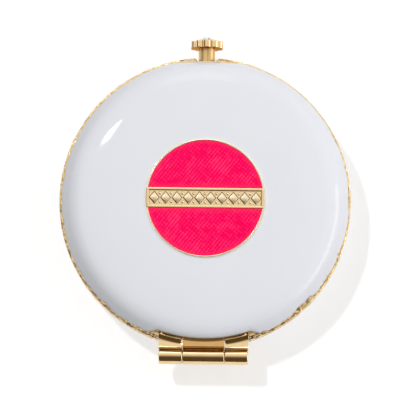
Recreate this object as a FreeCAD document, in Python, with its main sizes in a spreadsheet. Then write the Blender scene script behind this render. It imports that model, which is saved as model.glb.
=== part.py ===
import FreeCAD, Part
import math
import os
import Sketcher

# Round compact mirror: two enamelled half shells on a pin hinge, shut by a sprung push button.
# Millimetres. +X runs along the hinge, +Y from the hinge to the button, +Z up through the lid.
# The origin is the middle of the flat on the underside.

# Driving dimensions
SIZES = {
    # case
    "case_radius": 32.5,
    "half_height": 8.5,
    "band_height": 2.4,
    "rim_gap": 0.05,
    "enamel_setback": 0.5,
    "enamel_depth": 0.6,
    "flat_margin": 0.3,
    "crown_bend": 75.0,
    "shoulder_width": 6.2,
    "pan_wall": 0.9,
    "rim_wall": 3.1,
    "seat_ledge": 1.0,
    "seat_gap": 0.02,
    "overrun": 6.0,
    # mirrors
    "frame_recess": 0.5,
    "frame_plate": 0.8,
    "frame_fit": 0.1,
    "frame_bevel": 0.3,
    "frame_width": 6.3,
    "glass_lap": 0.7,
    "glass_depth": 1.6,
    "glass_bevel": 0.2,
    "magnifier_bend": 400.0,
    "pad_inset": 0.3,
    # medallion
    "medallion_radius": 13.2,
    "medallion_disc": 0.35,
    "border_width": 0.32,
    "border_height": 0.3,
    "bar_width": 4.5,
    "bar_height": 0.4,
    "bar_border": 0.58,
    "bar_end_border": 0.75,
    "panel_depth": 0.2,
    "inlay_depth": 0.22,
    "inlay_fit": 0.02,
    # hinge
    "barrel_radius": 1.85,
    "middle_knuckle": 9.2,
    "side_knuckle": 5.18,
    "knuckle_gap": 0.12,
    "recess_depth": 1.8,
    "recess_side_gap": 0.1,
    "enamel_recess_width": 20.6,
    "recess_flare_width": 4.8,
    "recess_flare_depth": 0.9,
    "leaf_gap": 0.1,
    "leaf_plate": 1.2,
    "crease_depth": 0.35,
    "crease_width": 0.2,
    "groove_depth": 0.6,
    "groove_width": 0.8,
    "saddle_clearance": 1.24,
    "saddle_strip": 0.3,
    "scoop_width": 1.43,
    "strip_height": 1.7,
    "pin_radius": 0.8,
    "pin_fit": 0.05,
    "pin_press": 0.01,
    # button
    "stem_radius": 1.85,
    "stem_fit": 0.1,
    "button_travel": 1.5,
    "head_clearance": 0.94,
    "shoulder_inset": 2.1,
    "shaft_radius": 0.75,
    "shaft_fit": 0.04,
    "chord_inset": 1.1,
    "rim_slot_width": 4.24,
    "rim_slot_round": 0.7,
    "setting_depth": 1.45,
    "setting_radius": 3.72,
    "lobe_radius": 0.95,
    "lobe_round": 0.3,
    "crystal_radius": 2.1,
    "crystal_sink": 0.5,
    "crystal_rise": 0.85,
    "crystal_table": 1.15,
    # latch
    "spring_room": 2.8,
    "spring_wire": 0.3,
    "spring_radius": 1.0,
    "spring_seat": 0.05,
    "guide_tab": 0.8,
    "guide_tab_width": 3.2,
    "guide_tab_rise": 1.2,
    "guide_foot": 0.8,
    "guide_foot_width": 9.2,
    "guide_foot_depth": 2.6,
    "hook_gap": 0.1,
    "hook_plate": 0.8,
    "hook_width": 3.0,
    "hook_foot": 0.95,
    "nose_gap": 0.1,
    "nose_height": 0.8,
    "nose_overlap": 0.8,
    "nose_clearance": 0.4,
    "notch_width": 4.4,
    "notch_clearance": 0.2,
    "keeper_plate": 0.6,
    "keeper_length": 8.0,
    "keeper_width": 2.0,
    "keeper_gap_width": 3.8,
    "rivet_margin": 1.0,
    "rivet_radius": 0.4,
    "rivet_head_radius": 0.75,
    "rivet_head": 0.3,
    "screw_margin": 1.1,
    "screw_radius": 0.45,
    "screw_head_radius": 0.9,
    "screw_head": 0.5,
    "latch_screw_radius": 0.35,
    "latch_screw_depth": 1.6,
    "latch_screw_head_radius": 0.95,
    "latch_screw_head": 0.4,
    "fastener_fit": 0.02,
}

# Ratios and counts
SCOOP_BEND_SHARE = 1.08
LOBE_COUNT = 10
CRYSTAL_SIDES = 8
SPRING_TURNS = 3
SPRING_STEPS_PER_TURN = 4
LEAST_SPRING_GAP = 0.4

LID = "lid"
BASE = "base"

# How a sketch numbers the points of a line, its origin and its two axes
START_INDEX = 1
END_INDEX = 2
CENTRE_INDEX = 3
ORIGIN_INDEX = -1
X_AXIS_INDEX = -1
Y_AXIS_INDEX = -2

doc = FreeCAD.newDocument("compact_mirror")
sheet = doc.addObject("Spreadsheet::Sheet", "Sizes")
for row, (alias, number) in enumerate(SIZES.items(), start=1):
    sheet.set(f"A{row}", alias)
    sheet.set(f"B{row}", str(number))
    sheet.setAlias(f"B{row}", alias)
doc.recompute()


class Size:
    """A size of the sheet, or a sum worked out from such sizes: its number now and its live formula."""

    def __init__(self, value, formula):
        self.value = value
        self.formula = formula

    def __add__(self, other):
        other = as_size(other)
        return Size(self.value + other.value, f"({self.formula} + {other.formula})")

    def __sub__(self, other):
        other = as_size(other)
        return Size(self.value - other.value, f"({self.formula} - {other.formula})")

    def __mul__(self, other):
        other = as_size(other)
        return Size(self.value * other.value, f"({self.formula} * {other.formula})")

    def __truediv__(self, other):
        other = as_size(other)
        return Size(self.value / other.value, f"({self.formula} / {other.formula})")

    def __neg__(self):
        return Size(-self.value, f"(-1 * {self.formula})")


def as_size(number):
    if isinstance(number, Size):
        return number
    return Size(float(number), repr(number))


def size(alias):
    return Size(float(sheet.get(alias)), f"Sizes.{alias}")


def root(square):
    return Size(math.sqrt(square.value), f"sqrt({square.formula})")


def leg(long_side, other_side):
    """The third side of a right-angled triangle."""
    return root(long_side * long_side - other_side * other_side)


def turn_of(opposite, long_side):
    """The angle, in degrees, whose sine is the ratio of the two lengths."""
    ratio = opposite / long_side
    return Size(math.degrees(math.asin(ratio.value)), f"asin({ratio.formula})")


ZERO = as_size(0)
OVERRUN = size("overrun")
SEAT_GAP = size("seat_gap")
HALF_HEIGHT = size("half_height")


# Helpers for bodies, sketches and features
def new_body(label):
    return doc.addObject("PartDesign::Body", label)


def place(piece, turn, height=ZERO, forward=ZERO):
    piece.Placement = FreeCAD.Placement(FreeCAD.Vector(0, forward.value, height.value), turn)
    piece.setExpression("Placement.Base.z", height.formula)
    if forward is not ZERO:
        piece.setExpression("Placement.Base.y", forward.formula)


UPRIGHT = FreeCAD.Rotation(FreeCAD.Vector(0, 0, 1), 0)
TURNED_OVER = FreeCAD.Rotation(FreeCAD.Vector(0, 1, 0), 180)
TOWARDS_HINGE = FreeCAD.Rotation(FreeCAD.Vector(0, 0, 1), -90)
TOWARDS_BUTTON = FreeCAD.Rotation(FreeCAD.Vector(1, 0, 0), -90)
ALONG_HINGE = FreeCAD.Rotation(FreeCAD.Vector(0, 1, 0), 90)


def half_turn(half):
    return UPRIGHT if half == LID else TURNED_OVER


def place_in_half(body, half, turn=UPRIGHT):
    """Heights inside a half count from the parting plane: up in the lid, down in the base."""
    place(body, half_turn(half).multiply(turn), HALF_HEIGHT)


def new_sketch(body, name, plane_role, height=ZERO, across=ZERO):
    """A sketch on one of the body's planes, raised by a height and shifted across."""
    sketch = body.newObject("Sketcher::SketchObject", name)
    plane = next(item for item in body.Origin.OriginFeatures if item.Role == plane_role)
    sketch.AttachmentSupport = [(plane, "")]
    sketch.MapMode = "FlatFace"
    if height is not ZERO:
        sketch.setExpression("AttachmentOffset.Base.z", height.formula)
    if across is not ZERO:
        sketch.setExpression("AttachmentOffset.Base.x", across.formula)
    return sketch


def hold(sketch, geometry, point, across, along):
    """Hold a point of the sketch at a place worked out from the sizes."""
    ways = (("DistanceX", Y_AXIS_INDEX, across), ("DistanceY", X_AXIS_INDEX, along))
    for kind, axis, place_on_axis in ways:
        if place_on_axis is ZERO:
            sketch.addConstraint(Sketcher.Constraint("PointOnObject", geometry, point, axis))
        else:
            held = Sketcher.Constraint(kind, ORIGIN_INDEX, START_INDEX, geometry, point, place_on_axis.value)
            number = sketch.addConstraint(held)
            sketch.setExpression(f"Constraints[{number}]", place_on_axis.formula)


def hold_radius(sketch, geometry, radius):
    number = sketch.addConstraint(Sketcher.Constraint("Radius", geometry, radius.value))
    sketch.setExpression(f"Constraints[{number}]", radius.formula)


def arc_between(start, end, bend):
    """The shorter arc between two points. A positive bend turns left on the way, a negative one right."""
    radius = abs(bend)
    chord = end - start
    half_chord = chord.Length / 2
    side = 1 if bend > 0 else -1
    square_on = FreeCAD.Vector(-chord.y, chord.x, 0).normalize()
    centre = start + chord / 2 + square_on * (side * math.sqrt(radius ** 2 - half_chord ** 2))
    circle = Part.Circle(centre, FreeCAD.Vector(0, 0, 1), radius)
    first, last = (start, end) if bend > 0 else (end, start)
    first_angle = math.atan2(first.y - centre.y, first.x - centre.x)
    last_angle = math.atan2(last.y - centre.y, last.x - centre.x)
    return Part.ArcOfCircle(circle, first_angle, last_angle)


def draw_outline(sketch, corners):
    """Draw a closed outline. A corner is (across, along), or (across, along, bend) where an arc runs on."""
    points = [FreeCAD.Vector(corner[0].value, corner[1].value, 0) for corner in corners]
    ends = []
    for number, corner in enumerate(corners):
        start = points[number]
        end = points[(number + 1) % len(points)]
        if len(corner) == 2:
            geometry = sketch.addGeometry(Part.LineSegment(start, end))
            ends.append((geometry, START_INDEX, END_INDEX))
        else:
            bend = corner[2]
            geometry = sketch.addGeometry(arc_between(start, end, bend.value))
            ends.append((geometry, START_INDEX, END_INDEX) if bend.value > 0 else (geometry, END_INDEX, START_INDEX))
    for number, corner in enumerate(corners):
        geometry, first, last = ends[number]
        following, following_first, _ = ends[(number + 1) % len(ends)]
        sketch.addConstraint(Sketcher.Constraint("Coincident", geometry, last, following, following_first))
        hold(sketch, geometry, first, corner[0], corner[1])
        if len(corner) == 3:
            bend = corner[2]
            hold_radius(sketch, geometry, bend if bend.value > 0 else -bend)


def draw_rectangle(sketch, left, right, low, high):
    draw_outline(sketch, [(left, low), (right, low), (right, high), (left, high)])


def draw_circle(sketch, across, along, radius):
    centre = FreeCAD.Vector(across.value, along.value, 0)
    geometry = sketch.addGeometry(Part.Circle(centre, FreeCAD.Vector(0, 0, 1), radius.value))
    hold(sketch, geometry, CENTRE_INDEX, across, along)
    hold_radius(sketch, geometry, radius)


def pad(body, sketch, length, both_ways=False):
    feature = body.newObject("PartDesign::Pad", f"{sketch.Name}_pad")
    feature.Profile = sketch
    feature.SideType = "Symmetric" if both_ways else "One side"
    feature.setExpression("Length", length.formula)
    return feature


def cut(body, sketch, length, both_ways=False, reverse=False):
    """Cut the sketch out of the body, and make sure that it takes something away."""
    doc.recompute()
    before = body.Shape.Volume
    feature = body.newObject("PartDesign::Pocket", f"{sketch.Name}_cut")
    feature.Profile = sketch
    feature.SideType = "Symmetric" if both_ways else "One side"
    feature.Reversed = reverse
    feature.setExpression("Length", length.formula)
    doc.recompute()
    if body.Shape.Volume >= before:
        raise RuntimeError(f"{sketch.Name} cuts nothing from {body.Label}")
    return feature


def revolve(body, sketch, angle=None):
    feature = body.newObject("PartDesign::Revolution", f"{sketch.Name}_turned")
    feature.Profile = sketch
    feature.ReferenceAxis = (sketch, ["V_Axis"])
    if angle is None:
        feature.Angle = 360
    else:
        feature.Midplane = True
        feature.setExpression("Angle", angle.formula)
    return feature


def block(body, name, width, near, far, low, high):
    """A block centred on the middle plane, from near to far along Y and from low to high along Z."""
    sketch = new_sketch(body, name, "XY_Plane", low)
    draw_rectangle(sketch, -(width / 2), width / 2, near, far)
    return pad(body, sketch, high - low)


def slot(body, name, width, near, far, low, high):
    """The same block, cut away."""
    sketch = new_sketch(body, name, "XY_Plane", high)
    draw_rectangle(sketch, -(width / 2), width / 2, near, far)
    return cut(body, sketch, high - low)


def round_holes(body, name, places, radius, low, high):
    """Round holes along Z at the given places."""
    sketch = new_sketch(body, name, "XY_Plane", high)
    for across, along in places:
        draw_circle(sketch, across, along, radius)
    return cut(body, sketch, high - low)


# The dome of a half: a flat, a slow curve and a tighter shoulder, all about the case's axis
MEDALLION_RADIUS = size("medallion_radius")
FLAT_RADIUS = MEDALLION_RADIUS + size("flat_margin")
CROWN_BEND = size("crown_bend")
BAND_HEIGHT = size("band_height")
CASE_RADIUS = size("case_radius")
ENAMEL_RADIUS = CASE_RADIUS - size("enamel_setback")
ENAMEL_DEPTH = size("enamel_depth")
SHOULDER_START = ENAMEL_RADIUS - size("shoulder_width")
LEAN = (SHOULDER_START - FLAT_RADIUS) / CROWN_BEND
UPRIGHT_SHARE = root(as_size(1) - LEAN * LEAN)
SHOULDER_HEIGHT = HALF_HEIGHT - CROWN_BEND * (as_size(1) - UPRIGHT_SHARE)
SHOULDER_RUN = ENAMEL_RADIUS - SHOULDER_START
SHOULDER_DROP = BAND_HEIGHT - SHOULDER_HEIGHT
SHOULDER_BEND = -((SHOULDER_RUN * SHOULDER_RUN + SHOULDER_DROP * SHOULDER_DROP)
                  / ((SHOULDER_RUN * LEAN + SHOULDER_DROP * UPRIGHT_SHARE) * 2))
SHOULDER_CENTRE = (SHOULDER_START - SHOULDER_BEND * LEAN, SHOULDER_HEIGHT - SHOULDER_BEND * UPRIGHT_SHARE)


def crown_end(depth):
    """Where the slow curve meets the shoulder, at a depth below the enamel's face."""
    return SHOULDER_START - depth * LEAN, SHOULDER_HEIGHT - depth * UPRIGHT_SHARE


def dome_radius(depth, height):
    """How far out the shoulder lies at a height above the parting plane."""
    centre_radius, centre_height = SHOULDER_CENTRE
    return centre_radius + leg(SHOULDER_BEND - depth, height - centre_height)


def dome_height(depth, radius):
    """How high the shoulder lies at a distance from the case's axis."""
    centre_radius, centre_height = SHOULDER_CENTRE
    return centre_height + leg(SHOULDER_BEND - depth, radius - centre_radius)


def crown_height(depth, radius):
    """How high the slow curve lies at a distance from the case's axis."""
    return HALF_HEIGHT - CROWN_BEND + leg(CROWN_BEND - depth, radius - FLAT_RADIUS)


def dome_outward(depth):
    """The dome from the axis out to the shoulder, whose end the caller adds."""
    shoulder = crown_end(depth)
    return [
        (ZERO, HALF_HEIGHT - depth),
        (FLAT_RADIUS, HALF_HEIGHT - depth, -(CROWN_BEND - depth)),
        (shoulder[0], shoulder[1], -(SHOULDER_BEND - depth)),
    ]


def dome_inward(depth, end):
    """The dome from the shoulder's end in to the axis."""
    shoulder = crown_end(depth)
    return [
        (end[0], end[1], SHOULDER_BEND - depth),
        (shoulder[0], shoulder[1], CROWN_BEND - depth),
        (FLAT_RADIUS, HALF_HEIGHT - depth),
        (ZERO, HALF_HEIGHT - depth),
    ]


# Hinge line, and the cuts that the shells share
BARREL_RADIUS = size("barrel_radius")
HINGE_REACH = CASE_RADIUS + BARREL_RADIUS
MIDDLE_LENGTH = size("middle_knuckle")
SIDE_START = MIDDLE_LENGTH / 2 + size("knuckle_gap")
HINGE_LENGTH = (SIDE_START + size("side_knuckle")) * 2
RECESS_RADIUS = CASE_RADIUS - size("recess_depth")
RECESS_WIDTH = HINGE_LENGTH + size("recess_side_gap") * 2
CHORD_REACH = CASE_RADIUS - size("chord_inset")
STEM_RADIUS = size("stem_radius")


def cut_hinge_recess(body, width, flared=False):
    """Cut the edge back to a smaller circle where the hinge lies. Flared sides run out slowly to the rim."""
    sketch = new_sketch(body, "hinge_recess", "XY_Plane", HALF_HEIGHT + OVERRUN)
    half_width = width / 2
    inner = -leg(RECESS_RADIUS, half_width)
    outer = -(CASE_RADIUS + OVERRUN)
    right = [(half_width, inner)]
    half_mouth = half_width
    if flared:
        half_mouth = half_width + size("recess_flare_width")
        right.append((half_mouth, inner - size("recess_flare_depth")))
    right.append((half_mouth, outer))
    left = [(-across, along) for across, along in reversed(right)]
    left[-1] += (RECESS_RADIUS,)
    draw_outline(sketch, left + right)
    cut(body, sketch, HALF_HEIGHT + OVERRUN * 2)


def cut_stem_notch(body):
    """Cut the way through for the stem, and the wider slot with rounded shoulders in the band."""
    bore = new_sketch(body, "stem_notch", "XZ_Plane")
    draw_circle(bore, ZERO, ZERO, STEM_RADIUS + size("stem_fit"))
    cut(body, bore, CASE_RADIUS + OVERRUN)
    mouth = new_sketch(body, "rim_slot", "XY_Plane", HALF_HEIGHT)
    corner = size("rim_slot_round")
    half_width = size("rim_slot_width") / 2
    half_mouth = half_width + corner
    shoulder = leg(CASE_RADIUS, half_mouth)
    outside = CASE_RADIUS + OVERRUN
    draw_outline(mouth, [
        (-half_width, CHORD_REACH),
        (half_width, CHORD_REACH),
        (half_width, shoulder - corner, -corner),
        (half_mouth, shoulder),
        (half_mouth, outside),
        (-half_mouth, outside),
        (-half_mouth, shoulder, -corner),
        (-half_width, shoulder - corner),
    ])
    cut(body, mouth, HALF_HEIGHT)


# Half shells
RIM_GAP = size("rim_gap")
RIM_INNER = CASE_RADIUS - size("rim_wall")
LEDGE_INNER = RIM_INNER - size("seat_ledge")
FRAME_FACE = size("frame_recess")
FRAME_BACK = FRAME_FACE + size("frame_plate")
LEDGE_HEIGHT = FRAME_BACK + SEAT_GAP
PAN_OUTSIDE = ENAMEL_DEPTH + SEAT_GAP
PAN_INSIDE = PAN_OUTSIDE + size("pan_wall")


def make_pan(half):
    body = new_body(f"{half}_pan")
    sketch = new_sketch(body, "pan_profile", "XZ_Plane")
    band_top = BAND_HEIGHT - SEAT_GAP
    corners = dome_outward(PAN_OUTSIDE)
    corners += [
        (dome_radius(PAN_OUTSIDE, band_top), band_top),
        (CASE_RADIUS, band_top),
        (CASE_RADIUS, RIM_GAP),
        (RIM_INNER, RIM_GAP),
        (RIM_INNER, LEDGE_HEIGHT),
        (LEDGE_INNER, LEDGE_HEIGHT),
    ]
    corners += dome_inward(PAN_INSIDE, (LEDGE_INNER, dome_height(PAN_INSIDE, LEDGE_INNER)))
    draw_outline(sketch, corners)
    revolve(body, sketch)
    cut_hinge_recess(body, RECESS_WIDTH)
    cut_stem_notch(body)
    place_in_half(body, half)
    return body


def make_enamel(half):
    body = new_body(f"{half}_enamel")
    sketch = new_sketch(body, "enamel_profile", "XZ_Plane")
    corners = dome_outward(ZERO)
    corners.append((ENAMEL_RADIUS, BAND_HEIGHT))
    corners += dome_inward(ENAMEL_DEPTH, (dome_radius(ENAMEL_DEPTH, BAND_HEIGHT), BAND_HEIGHT))
    draw_outline(sketch, corners)
    revolve(body, sketch)
    cut_hinge_recess(body, size("enamel_recess_width"), flared=True)
    slot(body, "clasp_flat", CASE_RADIUS, CHORD_REACH, CASE_RADIUS + OVERRUN, ZERO, HALF_HEIGHT + OVERRUN)
    place_in_half(body, half)
    return body


# Places along the button's axis, counted from the case's axis
BUTTON_TRAVEL = size("button_travel")
HEAD_REACH = CASE_RADIUS + BUTTON_TRAVEL + size("head_clearance")
SHOULDER_REACH = CASE_RADIUS - size("shoulder_inset")
GUIDE_FAR = SHOULDER_REACH - size("spring_room")
GUIDE_NEAR = GUIDE_FAR - size("guide_tab")
HOOK_FAR = GUIDE_NEAR - size("hook_gap")
HOOK_NEAR = HOOK_FAR - size("hook_plate")
LATCH_SCREW_HEAD = size("latch_screw_head")
NOTCH_REACH = HOOK_NEAR - BUTTON_TRAVEL - SEAT_GAP - LATCH_SCREW_HEAD - size("notch_clearance")
NOSE_REACH = LEDGE_INNER - size("nose_clearance")
SHAFT_RADIUS = size("shaft_radius")
SCREW_DEPTH = size("latch_screw_depth")
LATCH_SCREW_RADIUS = size("latch_screw_radius")


# Mirrors: ring, glass and pad
FRAME_RADIUS = RIM_INNER - size("frame_fit")
APERTURE_RADIUS = FRAME_RADIUS - size("frame_width")
GLASS_RADIUS = APERTURE_RADIUS + size("glass_lap")
GLASS_FACE = FRAME_BACK + SEAT_GAP
GLASS_BACK = GLASS_FACE + size("glass_depth")
FASTENER_FIT = size("fastener_fit")


def make_mirror_frame(half, hole_places, hole_radius):
    body = new_body(f"{half}_mirror_frame")
    sketch = new_sketch(body, "frame_profile", "XZ_Plane")
    bevel = size("frame_bevel")
    draw_outline(sketch, [
        (APERTURE_RADIUS, FRAME_BACK),
        (APERTURE_RADIUS, FRAME_FACE + bevel),
        (APERTURE_RADIUS + bevel, FRAME_FACE),
        (FRAME_RADIUS, FRAME_FACE),
        (FRAME_RADIUS, FRAME_BACK),
    ])
    revolve(body, sketch)
    high = FRAME_BACK + OVERRUN
    slot(body, "latch_notch", size("notch_width"), NOTCH_REACH, FRAME_RADIUS + OVERRUN, ZERO, high)
    round_holes(body, "fastener_holes", hole_places, hole_radius + FASTENER_FIT, ZERO, high)
    place_in_half(body, half)
    return body


def make_lid_mirror():
    body = new_body("lid_mirror")
    sketch = new_sketch(body, "glass_profile", "XZ_Plane")
    bevel = size("glass_bevel")
    draw_outline(sketch, [
        (ZERO, GLASS_FACE),
        (GLASS_RADIUS - bevel, GLASS_FACE),
        (GLASS_RADIUS, GLASS_FACE + bevel),
        (GLASS_RADIUS, GLASS_BACK),
        (ZERO, GLASS_BACK),
    ])
    revolve(body, sketch)
    place_in_half(body, LID)
    return body


def make_base_mirror():
    """The magnifying glass is hollow towards the lid."""
    body = new_body("base_mirror")
    sketch = new_sketch(body, "glass_profile", "XZ_Plane")
    bevel = size("glass_bevel")
    bend = size("magnifier_bend")
    edge = GLASS_RADIUS - bevel
    hollow = bend - leg(bend, edge)
    draw_outline(sketch, [
        (ZERO, GLASS_FACE + hollow, -bend),
        (edge, GLASS_FACE),
        (GLASS_RADIUS, GLASS_FACE + bevel),
        (GLASS_RADIUS, GLASS_BACK),
        (ZERO, GLASS_BACK),
    ])
    revolve(body, sketch)
    place_in_half(body, BASE)
    return body


def make_mirror_pad(half):
    """The pad fills the room between the glass and the pan's floor."""
    body = new_body(f"{half}_mirror_pad")
    sketch = new_sketch(body, "pad_profile", "XZ_Plane")
    depth = PAN_INSIDE + SEAT_GAP
    face = GLASS_BACK + SEAT_GAP
    pad_radius = GLASS_RADIUS - size("pad_inset")
    draw_outline(sketch, [
        (ZERO, face),
        (pad_radius, face),
        (pad_radius, crown_height(depth, pad_radius), CROWN_BEND - depth),
        (FLAT_RADIUS, HALF_HEIGHT - depth),
        (ZERO, HALF_HEIGHT - depth),
    ])
    revolve(body, sketch)
    place_in_half(body, half)
    return body


# Medallion on the lid
DISC_TOP = size("medallion_disc")
BORDER_INNER = MEDALLION_RADIUS - size("border_width")
BAR_HALF = size("bar_width") / 2


def place_on_lid(body):
    place(body, UPRIGHT, HALF_HEIGHT * 2)


def make_medallion_plate():
    body = new_body("medallion_plate")
    border_top = DISC_TOP + size("border_height")
    bar_top = DISC_TOP + size("bar_height")
    sketch = new_sketch(body, "disc_profile", "XZ_Plane")
    draw_outline(sketch, [
        (ZERO, ZERO),
        (MEDALLION_RADIUS, ZERO),
        (MEDALLION_RADIUS, border_top),
        (BORDER_INNER, border_top),
        (BORDER_INNER, DISC_TOP),
        (ZERO, DISC_TOP),
    ])
    revolve(body, sketch)
    bar = new_sketch(body, "bar", "XY_Plane")
    bar_end = leg(MEDALLION_RADIUS, BAR_HALF)
    draw_outline(bar, [
        (-bar_end, -BAR_HALF),
        (bar_end, -BAR_HALF, MEDALLION_RADIUS),
        (bar_end, BAR_HALF),
        (-bar_end, BAR_HALF, MEDALLION_RADIUS),
    ])
    pad(body, bar, bar_top)
    panel = new_sketch(body, "panel", "XY_Plane", bar_top)
    panel_half = BAR_HALF - size("bar_border")
    panel_end = MEDALLION_RADIUS - size("bar_end_border")
    draw_rectangle(panel, -panel_end, panel_end, -panel_half, panel_half)
    cut(body, panel, size("panel_depth"))
    place_on_lid(body)
    return body


def make_medallion_enamel(label, side):
    """A half moon of enamel between the bar and the border. Side is 1 above the bar and -1 below it."""
    body = new_body(label)
    fit = size("inlay_fit")
    outer = BORDER_INNER - fit
    inner = BAR_HALF + fit
    sketch = new_sketch(body, "half_moon", "XY_Plane", DISC_TOP + fit)
    end = leg(outer, inner)
    draw_outline(sketch, [
        (end, inner, outer),
        (ZERO, outer, outer),
        (-end, inner),
    ])
    pad(body, sketch, size("inlay_depth"))
    turn = UPRIGHT if side > 0 else FreeCAD.Rotation(FreeCAD.Vector(0, 0, 1), 180)
    place(body, turn, HALF_HEIGHT * 2)
    return body


# Hinge: three knuckles on one pin, each leaf scooped where it meets the case
LEAF_LOW = size("leaf_gap")
LEAF_TOP = LEAF_LOW + size("leaf_plate")
SADDLE_INNER = RECESS_RADIUS + SEAT_GAP
STRIP_OUTER = SADDLE_INNER + size("saddle_strip")
SADDLE_TOP = dome_height(ENAMEL_DEPTH, RECESS_RADIUS) - size("saddle_clearance")
PIN_RADIUS = size("pin_radius")


def barrel_edge(height):
    """How far out the barrel's near side lies at a height above the pin's axis."""
    return HINGE_REACH - leg(BARREL_RADIUS, height)


def lid_leaf_outline(leaf_root):
    """The leaf of the lid, with the crease beside the barrel on its upper face."""
    crease_height = LEAF_TOP - size("crease_depth")
    crease_at = barrel_edge(crease_height)
    return [
        (leaf_root, LEAF_LOW),
        (HINGE_REACH, LEAF_LOW),
        (HINGE_REACH, crease_height),
        (crease_at, crease_height),
        (crease_at - size("crease_width"), LEAF_TOP),
        (leaf_root, LEAF_TOP),
    ]


def base_leaf_outline(leaf_root):
    """The leaf of the base, with a wider groove beside the barrel on the face towards the lid."""
    groove_height = LEAF_LOW + size("groove_depth")
    groove_at = barrel_edge(groove_height)
    return [
        (leaf_root, LEAF_LOW),
        (groove_at - size("groove_width"), LEAF_LOW),
        (groove_at, groove_height),
        (HINGE_REACH, groove_height),
        (HINGE_REACH, LEAF_TOP),
        (leaf_root, LEAF_TOP),
    ]


def make_hinge_leaf(half):
    """A leaf is drawn with X pointing out from the case to the pin."""
    body = new_body(f"{half}_hinge_leaf")
    is_lid = half == LID
    length = HINGE_LENGTH if is_lid else MIDDLE_LENGTH
    through = (HALF_HEIGHT + OVERRUN) * 2

    # strip that lies along the recess
    strip = new_sketch(body, "strip", "XZ_Plane")
    draw_rectangle(strip, SADDLE_INNER, STRIP_OUTER, LEAF_LOW, size("strip_height"))
    revolve(body, strip, turn_of(HINGE_LENGTH / 2, STRIP_OUTER) * 2)

    # saddle with its scooped face
    saddle = new_sketch(body, "saddle", "XZ_Plane")
    saddle_outer = SADDLE_INNER + size("scoop_width")
    scoop_run = saddle_outer - STRIP_OUTER
    scoop_rise = SADDLE_TOP - LEAF_TOP
    scoop_bend = root(scoop_run * scoop_run + scoop_rise * scoop_rise) * SCOOP_BEND_SHARE
    draw_outline(saddle, [
        (SADDLE_INNER, LEAF_LOW),
        (saddle_outer, LEAF_LOW),
        (saddle_outer, LEAF_TOP, -scoop_bend),
        (STRIP_OUTER, SADDLE_TOP),
        (SADDLE_INNER, SADDLE_TOP),
    ])
    revolve(body, saddle, turn_of(length / 2, saddle_outer) * 2)

    # flat leaf, then the barrel
    leaf = new_sketch(body, "leaf", "XZ_Plane")
    leaf_root = leg(SADDLE_INNER, length / 2)
    draw_outline(leaf, lid_leaf_outline(leaf_root) if is_lid else base_leaf_outline(leaf_root))
    pad(body, leaf, length, both_ways=True)
    barrel = new_sketch(body, "barrel", "XZ_Plane")
    draw_circle(barrel, HINGE_REACH, ZERO, BARREL_RADIUS)
    pad(body, barrel, length, both_ways=True)

    # room for the case wall behind the leaf, and for the middle knuckle
    wall = new_sketch(body, "case_wall", "XY_Plane")
    draw_circle(wall, ZERO, ZERO, SADDLE_INNER)
    cut(body, wall, through, both_ways=True)
    if is_lid:
        middle = new_sketch(body, "middle_gap", "XY_Plane")
        draw_rectangle(middle, STRIP_OUTER, HINGE_REACH + OVERRUN, -SIDE_START, SIDE_START)
        cut(body, middle, through, both_ways=True)

    bore = new_sketch(body, "pin_bore", "XZ_Plane")
    draw_circle(bore, HINGE_REACH, ZERO, PIN_RADIUS + (size("pin_press") if is_lid else size("pin_fit")))
    cut(body, bore, length + OVERRUN, both_ways=True)
    place_in_half(body, half, TOWARDS_HINGE)
    return body


def make_hinge_pin():
    pin = doc.addObject("Part::Cylinder", "hinge_pin")
    pin.setExpression("Radius", PIN_RADIUS.formula)
    pin.setExpression("Height", HINGE_LENGTH.formula)
    pin.Placement = FreeCAD.Placement(FreeCAD.Vector(0, 0, 0), ALONG_HINGE)
    pin.setExpression("Placement.Base.x", (-(HINGE_LENGTH / 2)).formula)
    pin.setExpression("Placement.Base.y", (-HINGE_REACH).formula)
    pin.setExpression("Placement.Base.z", HALF_HEIGHT.formula)
    return pin


# Push button: its pieces are turned about an axis that runs out through the rim


def place_on_button(body, forward=ZERO):
    place(body, TOWARDS_BUTTON, HALF_HEIGHT, forward)


def make_button_stem():
    body = new_body("button_stem")
    sketch = new_sketch(body, "stem_profile", "XZ_Plane")
    hole_radius = LATCH_SCREW_RADIUS + FASTENER_FIT
    hole_end = HOOK_NEAR + SCREW_DEPTH + FASTENER_FIT
    draw_outline(sketch, [
        (ZERO, hole_end),
        (hole_radius, hole_end),
        (hole_radius, HOOK_NEAR),
        (SHAFT_RADIUS, HOOK_NEAR),
        (SHAFT_RADIUS, SHOULDER_REACH),
        (STEM_RADIUS, SHOULDER_REACH),
        (STEM_RADIUS, HEAD_REACH),
        (ZERO, HEAD_REACH),
    ])
    revolve(body, sketch)
    place_on_button(body)
    return body


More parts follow.
